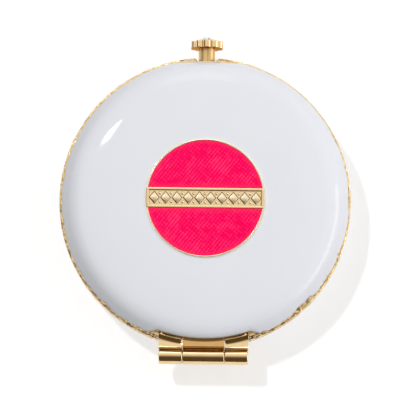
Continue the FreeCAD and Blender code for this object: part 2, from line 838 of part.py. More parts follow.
def make_button_setting():
    """A thick disc ringed with rounded lobes, hollowed for the stone."""
    body = new_body("button_setting")
    depth = size("setting_depth")
    lobe_radius = size("lobe_radius")
    lobe_round = size("lobe_round")
    lobe_centre = size("setting_radius") - lobe_radius
    cup_radius = size("crystal_radius") + FASTENER_FIT
    cup_floor = depth - size("crystal_sink") - FASTENER_FIT
    disc = new_sketch(body, "disc_profile", "XZ_Plane")
    draw_outline(disc, [
        (ZERO, ZERO),
        (lobe_centre, ZERO),
        (lobe_centre, depth),
        (cup_radius, depth),
        (cup_radius, cup_floor),
        (ZERO, cup_floor),
    ])
    revolve(body, disc)
    lobe = new_sketch(body, "lobe_profile", "YZ_Plane", across=lobe_centre)
    draw_outline(lobe, [
        (ZERO, ZERO),
        (lobe_radius - lobe_round, ZERO, lobe_round),
        (lobe_radius, lobe_round),
        (lobe_radius, depth - lobe_round, lobe_round),
        (lobe_radius - lobe_round, depth),
        (ZERO, depth),
    ])
    one_lobe = revolve(body, lobe)
    pattern = body.newObject("PartDesign::PolarPattern", "lobes")
    pattern.Originals = [one_lobe]
    pattern.Axis = (disc, ["V_Axis"])
    pattern.Angle = 360
    pattern.Occurrences = LOBE_COUNT
    body.Tip = pattern
    cup = new_sketch(body, "stone_cup", "XY_Plane", depth + OVERRUN)
    draw_circle(cup, ZERO, ZERO, cup_radius)
    cut(body, cup, depth + OVERRUN - cup_floor)
    place_on_button(body, HEAD_REACH + SEAT_GAP)
    return body


def make_button_crystal():
    """A cut stone: an eight-sided girdle rising to a smaller table."""
    body = new_body("button_crystal")
    sink = size("crystal_sink")
    rise = size("crystal_rise")
    levels = [
        (ZERO, size("crystal_radius")),
        (sink, size("crystal_radius")),
        (sink + rise, size("crystal_table")),
    ]
    sketches = []
    for number, (height, radius) in enumerate(levels):
        sketch = new_sketch(body, f"stone_{number}", "XY_Plane", height)
        corners = []
        for corner in range(CRYSTAL_SIDES):
            angle = 2 * math.pi * corner / CRYSTAL_SIDES
            across_share = math.cos(angle)
            along_share = math.sin(angle)
            corners.append((radius * across_share, radius * along_share))
        draw_outline(sketch, corners)
        sketches.append(sketch)
    loft = body.newObject("PartDesign::AdditiveLoft", "stone")
    loft.Profile = sketches[0]
    loft.Sections = sketches[1:]
    loft.Ruled = True
    place_on_button(body, HEAD_REACH + SEAT_GAP + size("setting_depth") - sink)
    return body


# Latch: hook on the shaft, keeper in the lid, guide in the base
KEEPER_LOW = FRAME_BACK + SEAT_GAP
KEEPER_TOP = KEEPER_LOW + size("keeper_plate")
NOSE_LOW = KEEPER_TOP + size("nose_gap")
NOSE_TOP = NOSE_LOW + size("nose_height")
KEEPER_ROOT = NOSE_REACH - size("keeper_width")
GUIDE_FOOT_NEAR = GUIDE_FAR - size("guide_foot_depth")


def pair_of_places(width, near, margin):
    """Two places, one at each end of a strip, at a margin from its ends and its near edge."""
    offset = width / 2 - margin
    return [(-offset, near + margin), (offset, near + margin)]


RIVET_PLACES = pair_of_places(size("keeper_length"), KEEPER_ROOT, size("rivet_margin"))
SCREW_PLACES = pair_of_places(size("guide_foot_width"), GUIDE_FOOT_NEAR, size("screw_margin"))


def make_latch_hook():
    body = new_body("latch_hook")
    width = size("hook_width")
    block(body, "plate", width, HOOK_NEAR, HOOK_FAR, -size("hook_foot"), NOSE_TOP)
    block(body, "nose", width, HOOK_NEAR, NOSE_REACH, NOSE_LOW, NOSE_TOP)
    hole = new_sketch(body, "shaft_hole", "XZ_Plane")
    draw_circle(hole, ZERO, ZERO, SHAFT_RADIUS + FASTENER_FIT)
    cut(body, hole, CASE_RADIUS)
    place(body, UPRIGHT, HALF_HEIGHT)
    return body


def make_latch_screw():
    body = new_body("latch_screw")
    sketch = new_sketch(body, "screw_profile", "XZ_Plane")
    head_far = HOOK_NEAR - SEAT_GAP
    head_near = head_far - LATCH_SCREW_HEAD
    draw_outline(sketch, [
        (ZERO, head_near),
        (size("latch_screw_head_radius"), head_near),
        (size("latch_screw_head_radius"), head_far),
        (LATCH_SCREW_RADIUS, head_far),
        (LATCH_SCREW_RADIUS, HOOK_NEAR + SCREW_DEPTH),
        (ZERO, HOOK_NEAR + SCREW_DEPTH),
    ])
    revolve(body, sketch)
    place_on_button(body)
    return body


def make_latch_keeper():
    """A strip across the notch, wider at both ends where the rivets hold it."""
    body = new_body("latch_keeper")
    block(body, "strip", size("keeper_length"), KEEPER_ROOT, NOSE_REACH, KEEPER_LOW, KEEPER_TOP)
    catch_edge = NOSE_REACH - size("nose_overlap")
    slot(body, "hook_gap", size("keeper_gap_width"), KEEPER_ROOT - OVERRUN, catch_edge,
         ZERO, KEEPER_TOP + OVERRUN)
    round_holes(body, "rivet_holes", RIVET_PLACES, size("rivet_radius") + FASTENER_FIT,
                ZERO, KEEPER_TOP + OVERRUN)
    place_in_half(body, LID)
    return body


def make_clasp_guide():
    """A bracket under the base's ring, with an upright tab that the shaft runs through."""
    body = new_body("clasp_guide")
    foot_low = FRAME_BACK + SEAT_GAP
    foot_high = foot_low + size("guide_foot")
    block(body, "foot", size("guide_foot_width"), GUIDE_FOOT_NEAR, GUIDE_FAR, foot_low, foot_high)
    block(body, "tab", size("guide_tab_width"), GUIDE_NEAR, GUIDE_FAR, -size("guide_tab_rise"), foot_high)
    hole = new_sketch(body, "shaft_hole", "XZ_Plane")
    draw_circle(hole, ZERO, ZERO, SHAFT_RADIUS + size("shaft_fit"))
    cut(body, hole, CASE_RADIUS)
    round_holes(body, "screw_holes", SCREW_PLACES, size("screw_radius") + FASTENER_FIT,
                ZERO, foot_high + OVERRUN)
    place_in_half(body, BASE)
    return body


def headed_pin(shank_low, shank_high, shank_radius, head_high, head_radius):
    """A round shank with a flat head on its upper end."""
    profile = Part.makePolygon([
        FreeCAD.Vector(0, 0, shank_low.value),
        FreeCAD.Vector(shank_radius.value, 0, shank_low.value),
        FreeCAD.Vector(shank_radius.value, 0, shank_high.value),
        FreeCAD.Vector(head_radius.value, 0, shank_high.value),
        FreeCAD.Vector(head_radius.value, 0, head_high.value),
        FreeCAD.Vector(0, 0, head_high.value),
        FreeCAD.Vector(0, 0, shank_low.value),
    ])
    return Part.Face(profile).revolve(FreeCAD.Vector(0, 0, 0), FreeCAD.Vector(0, 0, 1), 360)


def make_fasteners(label, half, places, pin):
    """Identical fasteners, one solid at each place."""
    solids = []
    for across, along in places:
        one = pin.copy()
        one.translate(FreeCAD.Vector(across.value, along.value, 0))
        solids.append(one)
    group = doc.addObject("Part::Feature", label)
    group.Shape = Part.makeCompound(solids)
    place_in_half(group, half)
    return group


def make_keeper_rivets():
    head_low = KEEPER_TOP + SEAT_GAP
    pin = headed_pin(FRAME_FACE, head_low, size("rivet_radius"),
                     head_low + size("rivet_head"), size("rivet_head_radius"))
    return make_fasteners("keeper_rivets", LID, RIVET_PLACES, pin)


def make_guide_screws():
    head_low = FRAME_BACK + SEAT_GAP + size("guide_foot") + SEAT_GAP
    pin = headed_pin(FRAME_FACE, head_low, size("screw_radius"),
                     head_low + size("screw_head"), size("screw_head_radius"))
    return make_fasteners("guide_screws", BASE, SCREW_PLACES, pin)


# Return spring: one wire wound round the shaft, between the guide and the stem's shoulder
def arc_from(start, towards, end):
    """The arc from start to end whose tangents meet at the point called towards."""
    middle = (start + end) / 2
    half_chord = (end - start).Length / 2
    height = (towards - middle).Length
    sagitta = half_chord * math.tan(math.atan2(height, half_chord) / 2)
    top = middle + (towards - middle).normalize() * sagitta
    return Part.Arc(start, top, end).toShape()


def biarc(start, start_way, end, end_way):
    """Two arcs, tangent where they meet, that leave start and reach end along the given ways."""
    span = end - start
    both = start_way + end_way
    spread = 2 * (1 - start_way.dot(end_way))
    along = span.dot(both)
    reach = (-along + math.sqrt(along ** 2 + spread * span.dot(span))) / spread
    first = start + start_way * reach
    second = end - end_way * reach
    joint = (first + second) / 2
    return [arc_from(start, first, joint), arc_from(joint, second, end)]


def make_return_spring():
    wire = size("spring_wire").value
    radius = size("spring_radius").value
    low = GUIDE_FAR.value + size("spring_seat").value + wire / 2
    high = SHOULDER_REACH.value - size("spring_seat").value - wire / 2
    steps = SPRING_TURNS * SPRING_STEPS_PER_TURN
    pitch = (high - low) / SPRING_TURNS
    rise = pitch / (2 * math.pi)

    def point(turns):
        angle = 2 * math.pi * turns
        return FreeCAD.Vector(radius * math.cos(angle), radius * math.sin(angle), low + pitch * turns)

    def way(turns):
        angle = 2 * math.pi * turns
        return FreeCAD.Vector(-radius * math.sin(angle), radius * math.cos(angle), rise).normalize()

    places = [step / SPRING_STEPS_PER_TURN for step in range(steps + 1)]
    edges = [Part.LineSegment(point(0) - way(0) * wire, point(0)).toShape()]
    for first, second in zip(places, places[1:]):
        edges += biarc(point(first), way(first), point(second), way(second))
    edges.append(Part.LineSegment(point(SPRING_TURNS), point(SPRING_TURNS) + way(SPRING_TURNS) * wire).toShape())
    path = Part.Wire(edges)
    section = Part.Wire(Part.makeCircle(wire / 2, point(0) - way(0) * wire, way(0)))
    tube = path.makePipeShell([section], True, False)
    gap = least_turn_gap(point, pitch, wire)
    print(f"return spring: least gap between turns {gap:.3f} mm")
    if gap <= LEAST_SPRING_GAP:
        raise RuntimeError("the spring's turns lie too close")
    spring = doc.addObject("Part::Feature", "return_spring")
    spring.Shape = tube
    place_on_button(spring)
    return spring


def least_turn_gap(point, pitch, wire):
    """The least gap between the wire and its next turn, on points of the path."""
    samples_per_turn = 60
    samples = SPRING_TURNS * samples_per_turn
    points = [point(number / samples_per_turn) for number in range(samples + 1)]
    least = pitch * SPRING_TURNS
    for number, here in enumerate(points):
        for there in points[number + samples_per_turn // 2:]:
            least = min(least, (there - here).Length)
    return least - wire


# Build every piece
pieces = [
    make_pan(LID),
    make_enamel(LID),
    make_medallion_plate(),
    make_medallion_enamel("medallion_enamel_upper", 1),
    make_medallion_enamel("medallion_enamel_lower", -1),
    make_mirror_frame(LID, RIVET_PLACES, size("rivet_radius")),
    make_lid_mirror(),
    make_mirror_pad(LID),
    make_hinge_leaf(LID),
    make_hinge_pin(),
    make_latch_keeper(),
    make_keeper_rivets(),
    make_pan(BASE),
    make_enamel(BASE),
    make_mirror_frame(BASE, SCREW_PLACES, size("screw_radius")),
    make_base_mirror(),
    make_mirror_pad(BASE),
    make_hinge_leaf(BASE),
    make_clasp_guide(),
    make_guide_screws(),
    make_return_spring(),
    make_button_stem(),
    make_button_setting(),
    make_button_crystal(),
    make_latch_hook(),
    make_latch_screw(),
]
doc.recompute()

# Check every piece, then write it
for item in doc.Objects:
    if "Invalid" in item.State or "Error" in item.State:
        raise RuntimeError(f"{item.Label} failed: {item.State}")
for piece in pieces:
    if piece.Shape.isNull() or not piece.Shape.isValid():
        raise RuntimeError(f"{piece.Label} has no valid shape")
os.makedirs("parts", exist_ok=True)
for piece in pieces:
    piece.Shape.exportStep(f"parts/{piece.Label}.step")
    print(piece.Label, len(piece.Shape.Solids), round(piece.Shape.Volume, 2))
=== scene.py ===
from math import acos, asin, atan2, cos, pi, radians, sin, sqrt, tan

import bmesh
import bpy
import numpy as np
from mathutils import Matrix, Vector, noise


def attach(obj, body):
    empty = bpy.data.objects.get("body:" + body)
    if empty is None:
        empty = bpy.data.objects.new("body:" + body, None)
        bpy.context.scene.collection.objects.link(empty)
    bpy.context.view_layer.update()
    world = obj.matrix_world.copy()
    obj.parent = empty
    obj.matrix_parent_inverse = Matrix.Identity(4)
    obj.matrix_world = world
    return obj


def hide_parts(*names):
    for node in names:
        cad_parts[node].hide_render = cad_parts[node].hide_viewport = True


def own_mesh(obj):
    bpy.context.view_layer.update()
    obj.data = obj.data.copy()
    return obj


# Round compact mirror. Shapes are worked out in millimetres, in the frame of the solids.
# Heights inside a half count from the parting plane: up in the lid, down in the base.

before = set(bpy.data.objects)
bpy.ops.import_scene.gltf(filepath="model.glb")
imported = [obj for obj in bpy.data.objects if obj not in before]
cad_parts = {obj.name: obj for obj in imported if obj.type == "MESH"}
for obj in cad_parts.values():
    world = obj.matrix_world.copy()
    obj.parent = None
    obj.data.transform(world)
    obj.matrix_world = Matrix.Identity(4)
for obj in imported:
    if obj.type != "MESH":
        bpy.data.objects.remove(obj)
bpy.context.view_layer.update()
scene = bpy.context.scene

MM = 0.001
TAU = 2 * pi
LID, BASE, BUTTON = "lid", "base", "button"

# Case
CASE_RADIUS = 32.5
PARTING = 8.5
BAND_HEIGHT = 2.4
SEAT_GAP = 0.02
RIM_GAP = 0.05
ENAMEL_RADIUS = 32.0
ENAMEL_DEPTH = 0.6
FLAT_RADIUS = 13.5
CROWN_BEND = 75.0
SHOULDER_START = 25.8
PAN_WALL = 0.9
RIM_INNER = 29.4
LEDGE_INNER = 28.4
LEDGE_LEAST = 0.1
RECESS_RADIUS = 30.7
PAN_SIDE = asin(10.0 / RECESS_RADIUS)
ENAMEL_GAP_HALF = 10.3
ENAMEL_SIDE = asin(ENAMEL_GAP_HALF / RECESS_RADIUS)
RECESS_FLARE = 0.9 / 4.8
RECESS_STEEP = 0.0012
CHORD = 31.4
SLOT_HALF = 2.12
SLOT_ROUND = 0.7
SLOT_LEDGE = 0.28
STEM_BORE = 1.95
DOME_EDGE = 28.0
DOME_RADII = (25.0, 19.0, FLAT_RADIUS, 1.5)

# Angles round the axis, and the sine past which a place counts as near the stem
HINGE_ANGLE = 1.5 * pi
STEM_ANGLE = 0.5 * pi
STEM_SIDE = 0.9

# The enamel's face and edge
SWELL_RISE = 0.34
SWELL_PEAK = 29.9
SWELL_END = 31.5
FLOW_START = 29.4
FLOW_OUT = 0.2
FLOW_ANGLE = 0.75
ENAMEL_CHORD = 31.2
NICK_GRAIN = 9.5
NICK_SEED = 4.0
NICK_LIMIT = 0.5
MENISCUS_RISE = 0.10
MENISCUS_WIDTH = 0.7
# The soft edge at the back and at the front: its limit, and its share of the edge's height
EDGE_SOFT_BACK = (0.28, 0.45)
EDGE_SOFT_FRONT = (0.85, 0.85)
EDGE_SOFT_LEAST = 0.02
# Radii of the face's rows, close together where the enamel meets the medallion
FACE_RADII = (1.5, 8.0, 13.21, 13.26, 13.33, 13.42, 13.54, 13.7, 13.9)
FACE_START = 14.3

# The chased rim, and the beads beside the stem
CHASE_START = 31.3
CHASE_DEPTH = 0.24
STROKE_SLANT = 0.022
STROKE_GRAIN = 55.0
STROKE_ROWS = 2.8
TAB_CHASE_SHARE = 0.8
TAB_CHASE_DEPTH = 0.08
# The tabs' dip that takes full painted shade
TAB_SHADE_DEPTH = 0.28
EDGE_CHASE_DEPTH = 0.10
SEAT_RADIUS = 30.6
SEAT_INNER = 30.3
SEAT_EDGE = 0.05
BAND_FOOT = 31.2
RIM_CHAMFER = 0.08
RIM_CURL = 0.3
CURL_HEIGHT = 0.34
RIM_DROPS = (0.0, 0.04, 0.09, 0.15, 0.22, 0.31, 0.42, 0.56, 0.74, 0.95, 1.2, 1.45, 1.7, 1.95, 2.15, 2.27,
             2.33)
TAB_ROWS = ((31.05, 0.02), (31.25, 0.08), (31.48, 0.02), (31.65, 0.0), (31.82, 0.03), (32.02, 0.09),
            (32.2, 0.03))
# Where the rim's columns run straight out: centre, reach and fade as angles, start, and fixed radius
STRAIGHT_PLACES = ((STEM_ANGLE, 0.13, 0.03, 28.0, CASE_RADIUS),
                   (HINGE_ANGLE, 0.46, 0.12, RECESS_RADIUS, RECESS_RADIUS))
TAB_LIMIT = 33
TAB_CROWD_SHARE = 0.04
TAB_END = 0.428
TAB_FADE = 0.018
BEAD_REACH = 6.5
BEAD_FADE = 2.0
BEAD_DEPTH = 0.13
BEAD_PITCH = 0.62
BARE_REACH = 7.5
BARE_FADE = 2.0
BARE_CALM_SHARE = 0.7
# Painted shade on the rim's bare top beside the stem
BARE_SHADE = 0.45

# Mirrors
FRAME_FACE = 0.5
FRAME_BACK = 1.3
FRAME_RADIUS = 29.3
APERTURE = 23.0
FRAME_BEVEL = 0.3
FRAME_SOFT = 0.08
NOTCH_START = 23.78
NOTCH_ANGLE = 2.2 / 26.5
GLASS_FACE = 1.32
GLASS_BACK = 2.92
GLASS_RADIUS = 23.7
GLASS_BEVEL = 0.2
MAGNIFIER_BEND = 400.0
PAD_RADIUS = 23.4
CAP_RADIUS = 0.6
PAD_RADII = (PAD_RADIUS, 20.0, 17.0, FLAT_RADIUS, CAP_RADIUS)

# Medallion, on the lid's flat
MEDALLION_RADIUS = 13.2
DISC_TOP = 0.35
DISC_CAP = 0.4
BORDER_INNER = 12.88
BORDER_TOP = 0.65
BAR_HALF = 2.25
BAR_TOP = 0.75
PANEL_HALF = 1.67
PANEL_END = 12.45
PANEL_FLOOR = 0.55
INLAY_LOW = 0.37
INLAY_TOP = 0.59
INLAY_FIT = 0.02
INLAY_HEART = 6.8
LOZENGE_COUNT = 10
LOZENGE_REACH = 1.0
LOZENGE_HALF = 1.22
LOZENGE_END = 1.2
STUD_RADIUS = 0.28
STUD_RISE = 0.17
STUD_ASIDE = 0.95
STUD_FOOT = ((0.40, PANEL_FLOOR + 0.004), (0.05, PANEL_FLOOR - 0.02))
# Painted shade on each row of a bead, from its top to its foot
STUD_SHADES = (0.0, 0.0, 0.0, 0.0, 0.5, 0.85, 0.35, 0.3)

# Rows of the bar's edge: inset at its sides and at its ends, level, and painted shade in the hollows
BAR_ROWS = ((0.0, 0.02, 0.1, 0.5), (0.0, 0.02, BAR_TOP - 0.14, 0.5), (0.04, 0.06, BAR_TOP - 0.05, 0.5),
            (0.14, 0.16, BAR_TOP, 0.35))
# Rows of the panel: inset, level and painted shade
PANEL_ROWS = ((-0.12, BAR_TOP, 0.35), (-0.04, BAR_TOP - 0.04, 0.45), (0.0, BAR_TOP - 0.10, 0.8),
              (0.02, PANEL_FLOOR + 0.03, 1.0), (0.08, PANEL_FLOOR, 0.85), (0.16, PANEL_FLOOR, 0.45),
              (0.30, PANEL_FLOOR, 0.2), (0.8, PANEL_FLOOR, 0.15))
# Rows of a lozenge: share of its foot, rise and painted shade
LOZENGE_ROWS = ((1.2, 0.004, 0.3), (1.03, 0.004, 0.7), (0.98, 0.03, 0.5), (0.88, 0.06, 0.0),
                (0.08, 0.12, 0.0))
# Rows of an inlay: share of its outline, and how far below its top
INLAY_ROWS = ((1.0, INLAY_TOP - INLAY_LOW), (1.0, 0.0), (0.985, 0.03), (0.96, 0.045), (0.9, 0.045),
              (0.7, 0.04), (0.4, 0.035), (0.1, 0.035))

# Hinge
HINGE_REACH = 34.35
BARREL_RADIUS = 1.85
PIN_RADIUS = 0.8
MIDDLE_HALF = 4.63
SIDE_START = 4.66
SIDE_END = 9.96
PIN_END = 9.9
PIN_PLAY = 0.05
PIN_SOFT = 0.18
SIDE_SOFT = 0.34
MIDDLE_SOFT = 0.22
LEAF_LOW = 0.1
LEAF_TOP = 1.3
LEAF_CORE = HINGE_REACH - 0.9
LEAF_STATIONS = 48
SADDLE_INNER = 30.72
SADDLE_TOP = 2.4
SADDLE_LIP = 0.06
SADDLE_FOOT = 0.3
STRIP_OUTER = 31.02
STRIP_LAP = 0.2
STRIP_FOOT = 0.3
SCOOP_OUTER = 32.15
SCOOP_BEND = 1.9
SCOOP_END_DEEP = 0.8
SCOOP_END_WIDE = 0.7
SCOOP_START = SIDE_START + 0.1
CREASE_DEPTH = 0.35
CREASE_WIDTH = 0.2
CREASE_FIT = 0.02
CREASE_LIP = 0.04
LEAF_RISE_SHARE = 0.15
GROOVE_DEPTH = 0.38
GROOVE_WIDTH = 0.44
# Painted shade in the groove where the base's leaf meets the barrel
GROOVE_SHADES = (0.45, 0.45, 0.3, 0.3)

# Button
STEM_RADIUS = 1.85
STEM_NEAR = 30.4
STEM_FAR = 34.94
SHAFT_RADIUS = 0.75
SHAFT_NEAR = 25.9
STEM_SOFT = 0.10
ROD_CAP = 0.1
HEAD_NEAR = 34.76
HEAD_DEPTH = 1.65
LOBE_CENTRE = 2.77
LOBE_RADIUS = 0.95
LOBE_ROUND = 0.14
LOBE_FLANK = 0.03
LOBE_COUNT = 10
CUP_RADIUS = 2.12
CUP_FLOOR = 1.13
CUP_CAP = 0.3
CUP_CHAMFER = 0.06
# Painted shade on the head's back, and between its lobes
HEAD_BACK_SHADE = 0.9
HEAD_VALLEY_SHADE = 0.8
STONE_RADIUS = 2.08
STONE_SINK = 0.5
STONE_RISE = 0.85
STONE_TABLE = 1.15
STONE_MIDDLE = 1.62
STONE_MIDDLE_SHARE = 0.58
STONE_GIRDLE = 0.12
STONE_FOOT = 1.2
STONE_SIDES = 8
SPRING_LOW = 27.65
SPRING_HIGH = 30.35
SPRING_WIRE = 0.3
SPRING_RADIUS = 1.0
SPRING_TURNS = 3

# Latch
KEEPER_OUTLINE = ((-4.0, 26.0), (-1.9, 26.0), (-1.9, 27.2), (1.9, 27.2), (1.9, 26.0), (4.0, 26.0),
                  (4.0, 28.0), (-4.0, 28.0))
KEEPER_LOW = 1.32
KEEPER_HIGH = 1.92
HOOK_SCREW_NEAR = 25.88
HOOK_BEVEL = 0.1
PLATE_BEVEL = 0.12
# Radius and depth of the head, radius and length of the shank
HOOK_SCREW = (0.95, 0.4, 0.35, 1.6)
# Blocks, each as half width, near, far, low and high faces
HOOK_BLOCKS = ((1.5, 25.9, 26.7, -0.95, 2.82), (1.5, 26.68, 28.0, 2.02, 2.82))
GUIDE_BLOCKS = ((4.6, 25.0, 27.6, 1.32, 2.12), (1.6, 26.8, 27.6, -1.2, 1.34))
# Pairs of fasteners: radius, top and foot of the head, the shank's radius, and the place aside and out
RIVET_HEADS = (0.75, 2.2, 1.94, 0.4, 3.0, 27.0)
SCREW_HEADS = (0.9, 2.6, 2.14, 0.45, 3.5, 26.1)
SHANK_END = 0.5
SHANK_CAP = 0.05
HEAD_DOME = 0.04
HEAD_SLOPE = 0.05
HEAD_SOFT = 0.1

# Dome of a half
LEAN = (SHOULDER_START - FLAT_RADIUS) / CROWN_BEND
UPRIGHT = sqrt(1 - LEAN ** 2)
SHOULDER_HEIGHT = PARTING - CROWN_BEND * (1 - UPRIGHT)
SHOULDER_RUN = ENAMEL_RADIUS - SHOULDER_START
SHOULDER_DROP = BAND_HEIGHT - SHOULDER_HEIGHT
SHOULDER_TURN = 2 * (SHOULDER_RUN * LEAN + SHOULDER_DROP * UPRIGHT)
SHOULDER_BEND = -(SHOULDER_RUN ** 2 + SHOULDER_DROP ** 2) / SHOULDER_TURN
BEND_RADIUS = SHOULDER_START - SHOULDER_BEND * LEAN
BEND_HEIGHT = SHOULDER_HEIGHT - SHOULDER_BEND * UPRIGHT


def dome_height(radius, depth=0.0):
    """The dome's height at a distance from the axis, and at a depth below its face."""
    if radius <= FLAT_RADIUS:
        return PARTING - depth
    if radius <= SHOULDER_START - depth * LEAN:
        return PARTING - CROWN_BEND + sqrt((CROWN_BEND - depth) ** 2 - (radius - FLAT_RADIUS) ** 2)
    inside = (SHOULDER_BEND - depth) ** 2 - (radius - BEND_RADIUS) ** 2
    return BEND_HEIGHT + sqrt(max(inside, 0.0))


# How far out the enamel's underside reaches the band's height
UNDERSIDE_EDGE = BEND_RADIUS + sqrt((SHOULDER_BEND - ENAMEL_DEPTH) ** 2 - (BAND_HEIGHT - BEND_HEIGHT) ** 2)


# Mesh helpers. A shell is a pair: points as an array, faces as index lists.
def clamp(value, low=0.0, high=1.0):
    return min(max(value, low), high)


def polar(radius, angle, height):
    return radius * cos(angle), radius * sin(angle), height


def quarter(share):
    """How far a quarter round still stands in, from 1 at its start to 0."""
    return 1 - sqrt(1 - (1 - clamp(share)) ** 2)


def curve(first, corner, last, share):
    """A place on the curve that cuts a corner."""
    return tuple((1 - share) ** 2 * first + 2 * share * (1 - share) * corner + share * share * last)


def grid_shell(rows, wrap_rows=False):
    """Quads between closed rows of points."""
    rows = np.asarray(rows, float)
    count, width = rows.shape[:2]
    faces = []
    for i in range(count if wrap_rows else count - 1):
        a, b = i * width, ((i + 1) % count) * width
        for j in range(width):
            k = (j + 1) % width
            faces.append((a + j, a + k, b + k, b + j))
    return rows.reshape(-1, 3), faces


def column_shell(columns, wrap_rows=False):
    """Quads between columns of points round the axis."""
    return grid_shell(np.array(columns).transpose(1, 0, 2), wrap_rows)


def capped(shell, width):
    """Close both ends of a tube of rows."""
    points, faces = shell
    total = len(points)
    return points, faces + [tuple(range(width)), tuple(range(total - width, total))]


def lathe(profile, steps):
    """Turn a closed profile about the Z axis."""
    angles = np.arange(steps) * TAU / steps
    return grid_shell([[polar(r, a, h) for a in angles] for r, h in profile], wrap_rows=True)


def disc_of(profile, steps):
    """Turn a profile that ends near the axis, and close both ends."""
    points, faces = lathe(profile, steps)
    return capped((points, faces[:(len(profile) - 1) * steps]), steps)


def softened(profile, radius, steps=3):
    """Round the corners of a closed profile."""
    rounded = []
    points = np.array(profile, float)
    for before, here, after in zip(np.roll(points, 1, 0), points, np.roll(points, -1, 0)):
        ways = before - here, after - here
        lengths = [np.linalg.norm(way) for way in ways]
        if here[0] < 1e-6 or ways[0] @ ways[1] / (lengths[0] * lengths[1]) < -0.9:
            rounded.append(tuple(here))
            continue
        reach = min(radius, 0.45 * lengths[0], 0.45 * lengths[1])
        first, last = (here + way / length * reach for way, length in zip(ways, lengths))
        start, end = (tuple(here + way / length * min(1.2 * reach, 0.48 * length))
                      for way, length in zip(ways, lengths))
        rounded += [start, *(curve(first, here, last, step / steps) for step in range(steps + 1)), end]
    return rounded


def prism(outline, low, high):
    """A straight block over a flat outline."""
    outline = np.asarray(outline, float)
    rows = [np.column_stack([outline, np.full(len(outline), level)]) for level in (low, high)]
    return capped(grid_shell(rows), len(outline))


def moved(shell, matrix):
    points, faces = shell
    matrix = np.asarray(matrix, float)
    return points @ matrix[:3, :3].T + matrix[:3, 3], faces


def joined(*shells):
    points, faces, start = [], [], 0
    for shell_points, shell_faces in shells:
        points.append(shell_points)
        faces += [tuple(start + i for i in face) for face in shell_faces]
        start += len(shell_points)
    return np.concatenate(points), faces


def blocks(sizes):
    """Straight blocks, as one shell."""
    shells = []
    for half, near, far, low, high in sizes:
        shells.append(prism([(-half, near), (half, near), (half, far), (-half, far)], low, high))
    return joined(*shells)


# Places: the part's frame, a half's, turned over or mirrored for the base, the lid's flat, and two axes
HERE = Matrix()
IN_LID = Matrix.Translation((0, 0, PARTING))
IN_BASE = IN_LID @ Matrix.Rotation(pi, 4, "Y")
MIRRORED = IN_LID @ Matrix.Scale(-1, 4, (0, 0, 1))
ON_LID = Matrix.Translation((0, 0, 2 * PARTING))
ON_BUTTON = IN_LID @ Matrix.Rotation(-pi / 2, 4, "X")
ALONG_X = Matrix.Rotation(pi / 2, 4, "Y")


def added(name, data):
    obj = bpy.data.objects.new(name, data)
    scene.collection.objects.link(obj)
    return obj


def make_piece(name, shell, place, body, node, finish, bevel=0.0, sharp=32, painted_shade=None):
    """A finished piece: mesh, soft edges, material, and what it stands for."""
    points, faces = moved(shell, place)
    slot, material = finish
    mesh = bpy.data.meshes.new(name)
    mesh.from_pydata((points * MM).tolist(), [], faces)
    # Per point, how much painted shade the gilt materials lay on this place
    if painted_shade is not None:
        values = mesh.attributes.new("painted_shade", "FLOAT", "POINT")
        values.data.foreach_set("value", np.asarray(painted_shade, np.float32))
    edit = bmesh.new()
    edit.from_mesh(mesh)
    bmesh.ops.dissolve_degenerate(edit, dist=1e-7, edges=edit.edges)
    bmesh.ops.remove_doubles(edit, verts=edit.verts, dist=2e-7)
    bmesh.ops.recalc_face_normals(edit, faces=edit.faces)
    if bevel:
        crisp = [e for e in edit.edges if e.is_manifold and e.calc_face_angle(0) > radians(sharp)]
        bmesh.ops.bevel(edit, geom=crisp, offset=bevel * MM, segments=3, profile=0.5,
                        affect="EDGES", clamp_overlap=True)
    edit.to_mesh(mesh)
    edit.free()
    mesh.shade_smooth()
    mesh.set_sharp_from_angle(angle=radians(sharp))
    mesh.materials.append(material)
    obj = added(name, mesh)
    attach(obj, body)
    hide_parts(node)
    return obj


# Materials
class Nodes:
    """Short ways to add nodes to a shader's tree."""

    def __init__(self, owner):
        owner.use_nodes = True
        self.tree = owner.node_tree

    def node(self, kind, settings=None, **inputs):
        made = self.tree.nodes.new("ShaderNode" + kind)
        for label, value in (settings or {}).items():
            setattr(made, label, value)
        for label, value in inputs.items():
            self.feed(made.inputs[label.replace("_", " ")], value)
        return made

    def feed(self, socket, value):
        if isinstance(value, bpy.types.NodeSocket):
            self.tree.links.new(value, socket)
        else:
            socket.default_value = (*value, 1) if socket.type == "RGBA" else value

    def row(self, kind, settings, *values):
        """Feed a node's first inputs in order. Gives its outputs."""
        made = self.node(kind, settings)
        for socket, value in zip(made.inputs, values):
            self.feed(socket, value)
        return made.outputs

    def math(self, operation, *values):
        return self.row("Math", {"operation": operation}, *values)[0]

    def spread(self, value, low, high, to_low=0.0, to_high=1.0, kind="LINEAR"):
        return self.row("MapRange", {"interpolation_type": kind}, value, low, high, to_low, to_high)[0]

    def mix(self, factor, first, second):
        made = self.node("Mix", {"data_type": "RGBA"})
        for number, value in ((0, factor), (6, first), (7, second)):
            self.feed(made.inputs[number], value)
        return made.outputs[2]

    def attribute(self, name):
        return self.node("Attribute", {"attribute_name": name}).outputs["Fac"]

    def shown_ray(self):
        """1 for what the camera sees straight, mirrored or through glass."""
        path = self.node("LightPath").outputs
        seen = self.math("MAXIMUM", path["Is Camera Ray"], path["Is Glossy Ray"])
        return self.math("MAXIMUM", seen, path["Is Transmission Ray"])


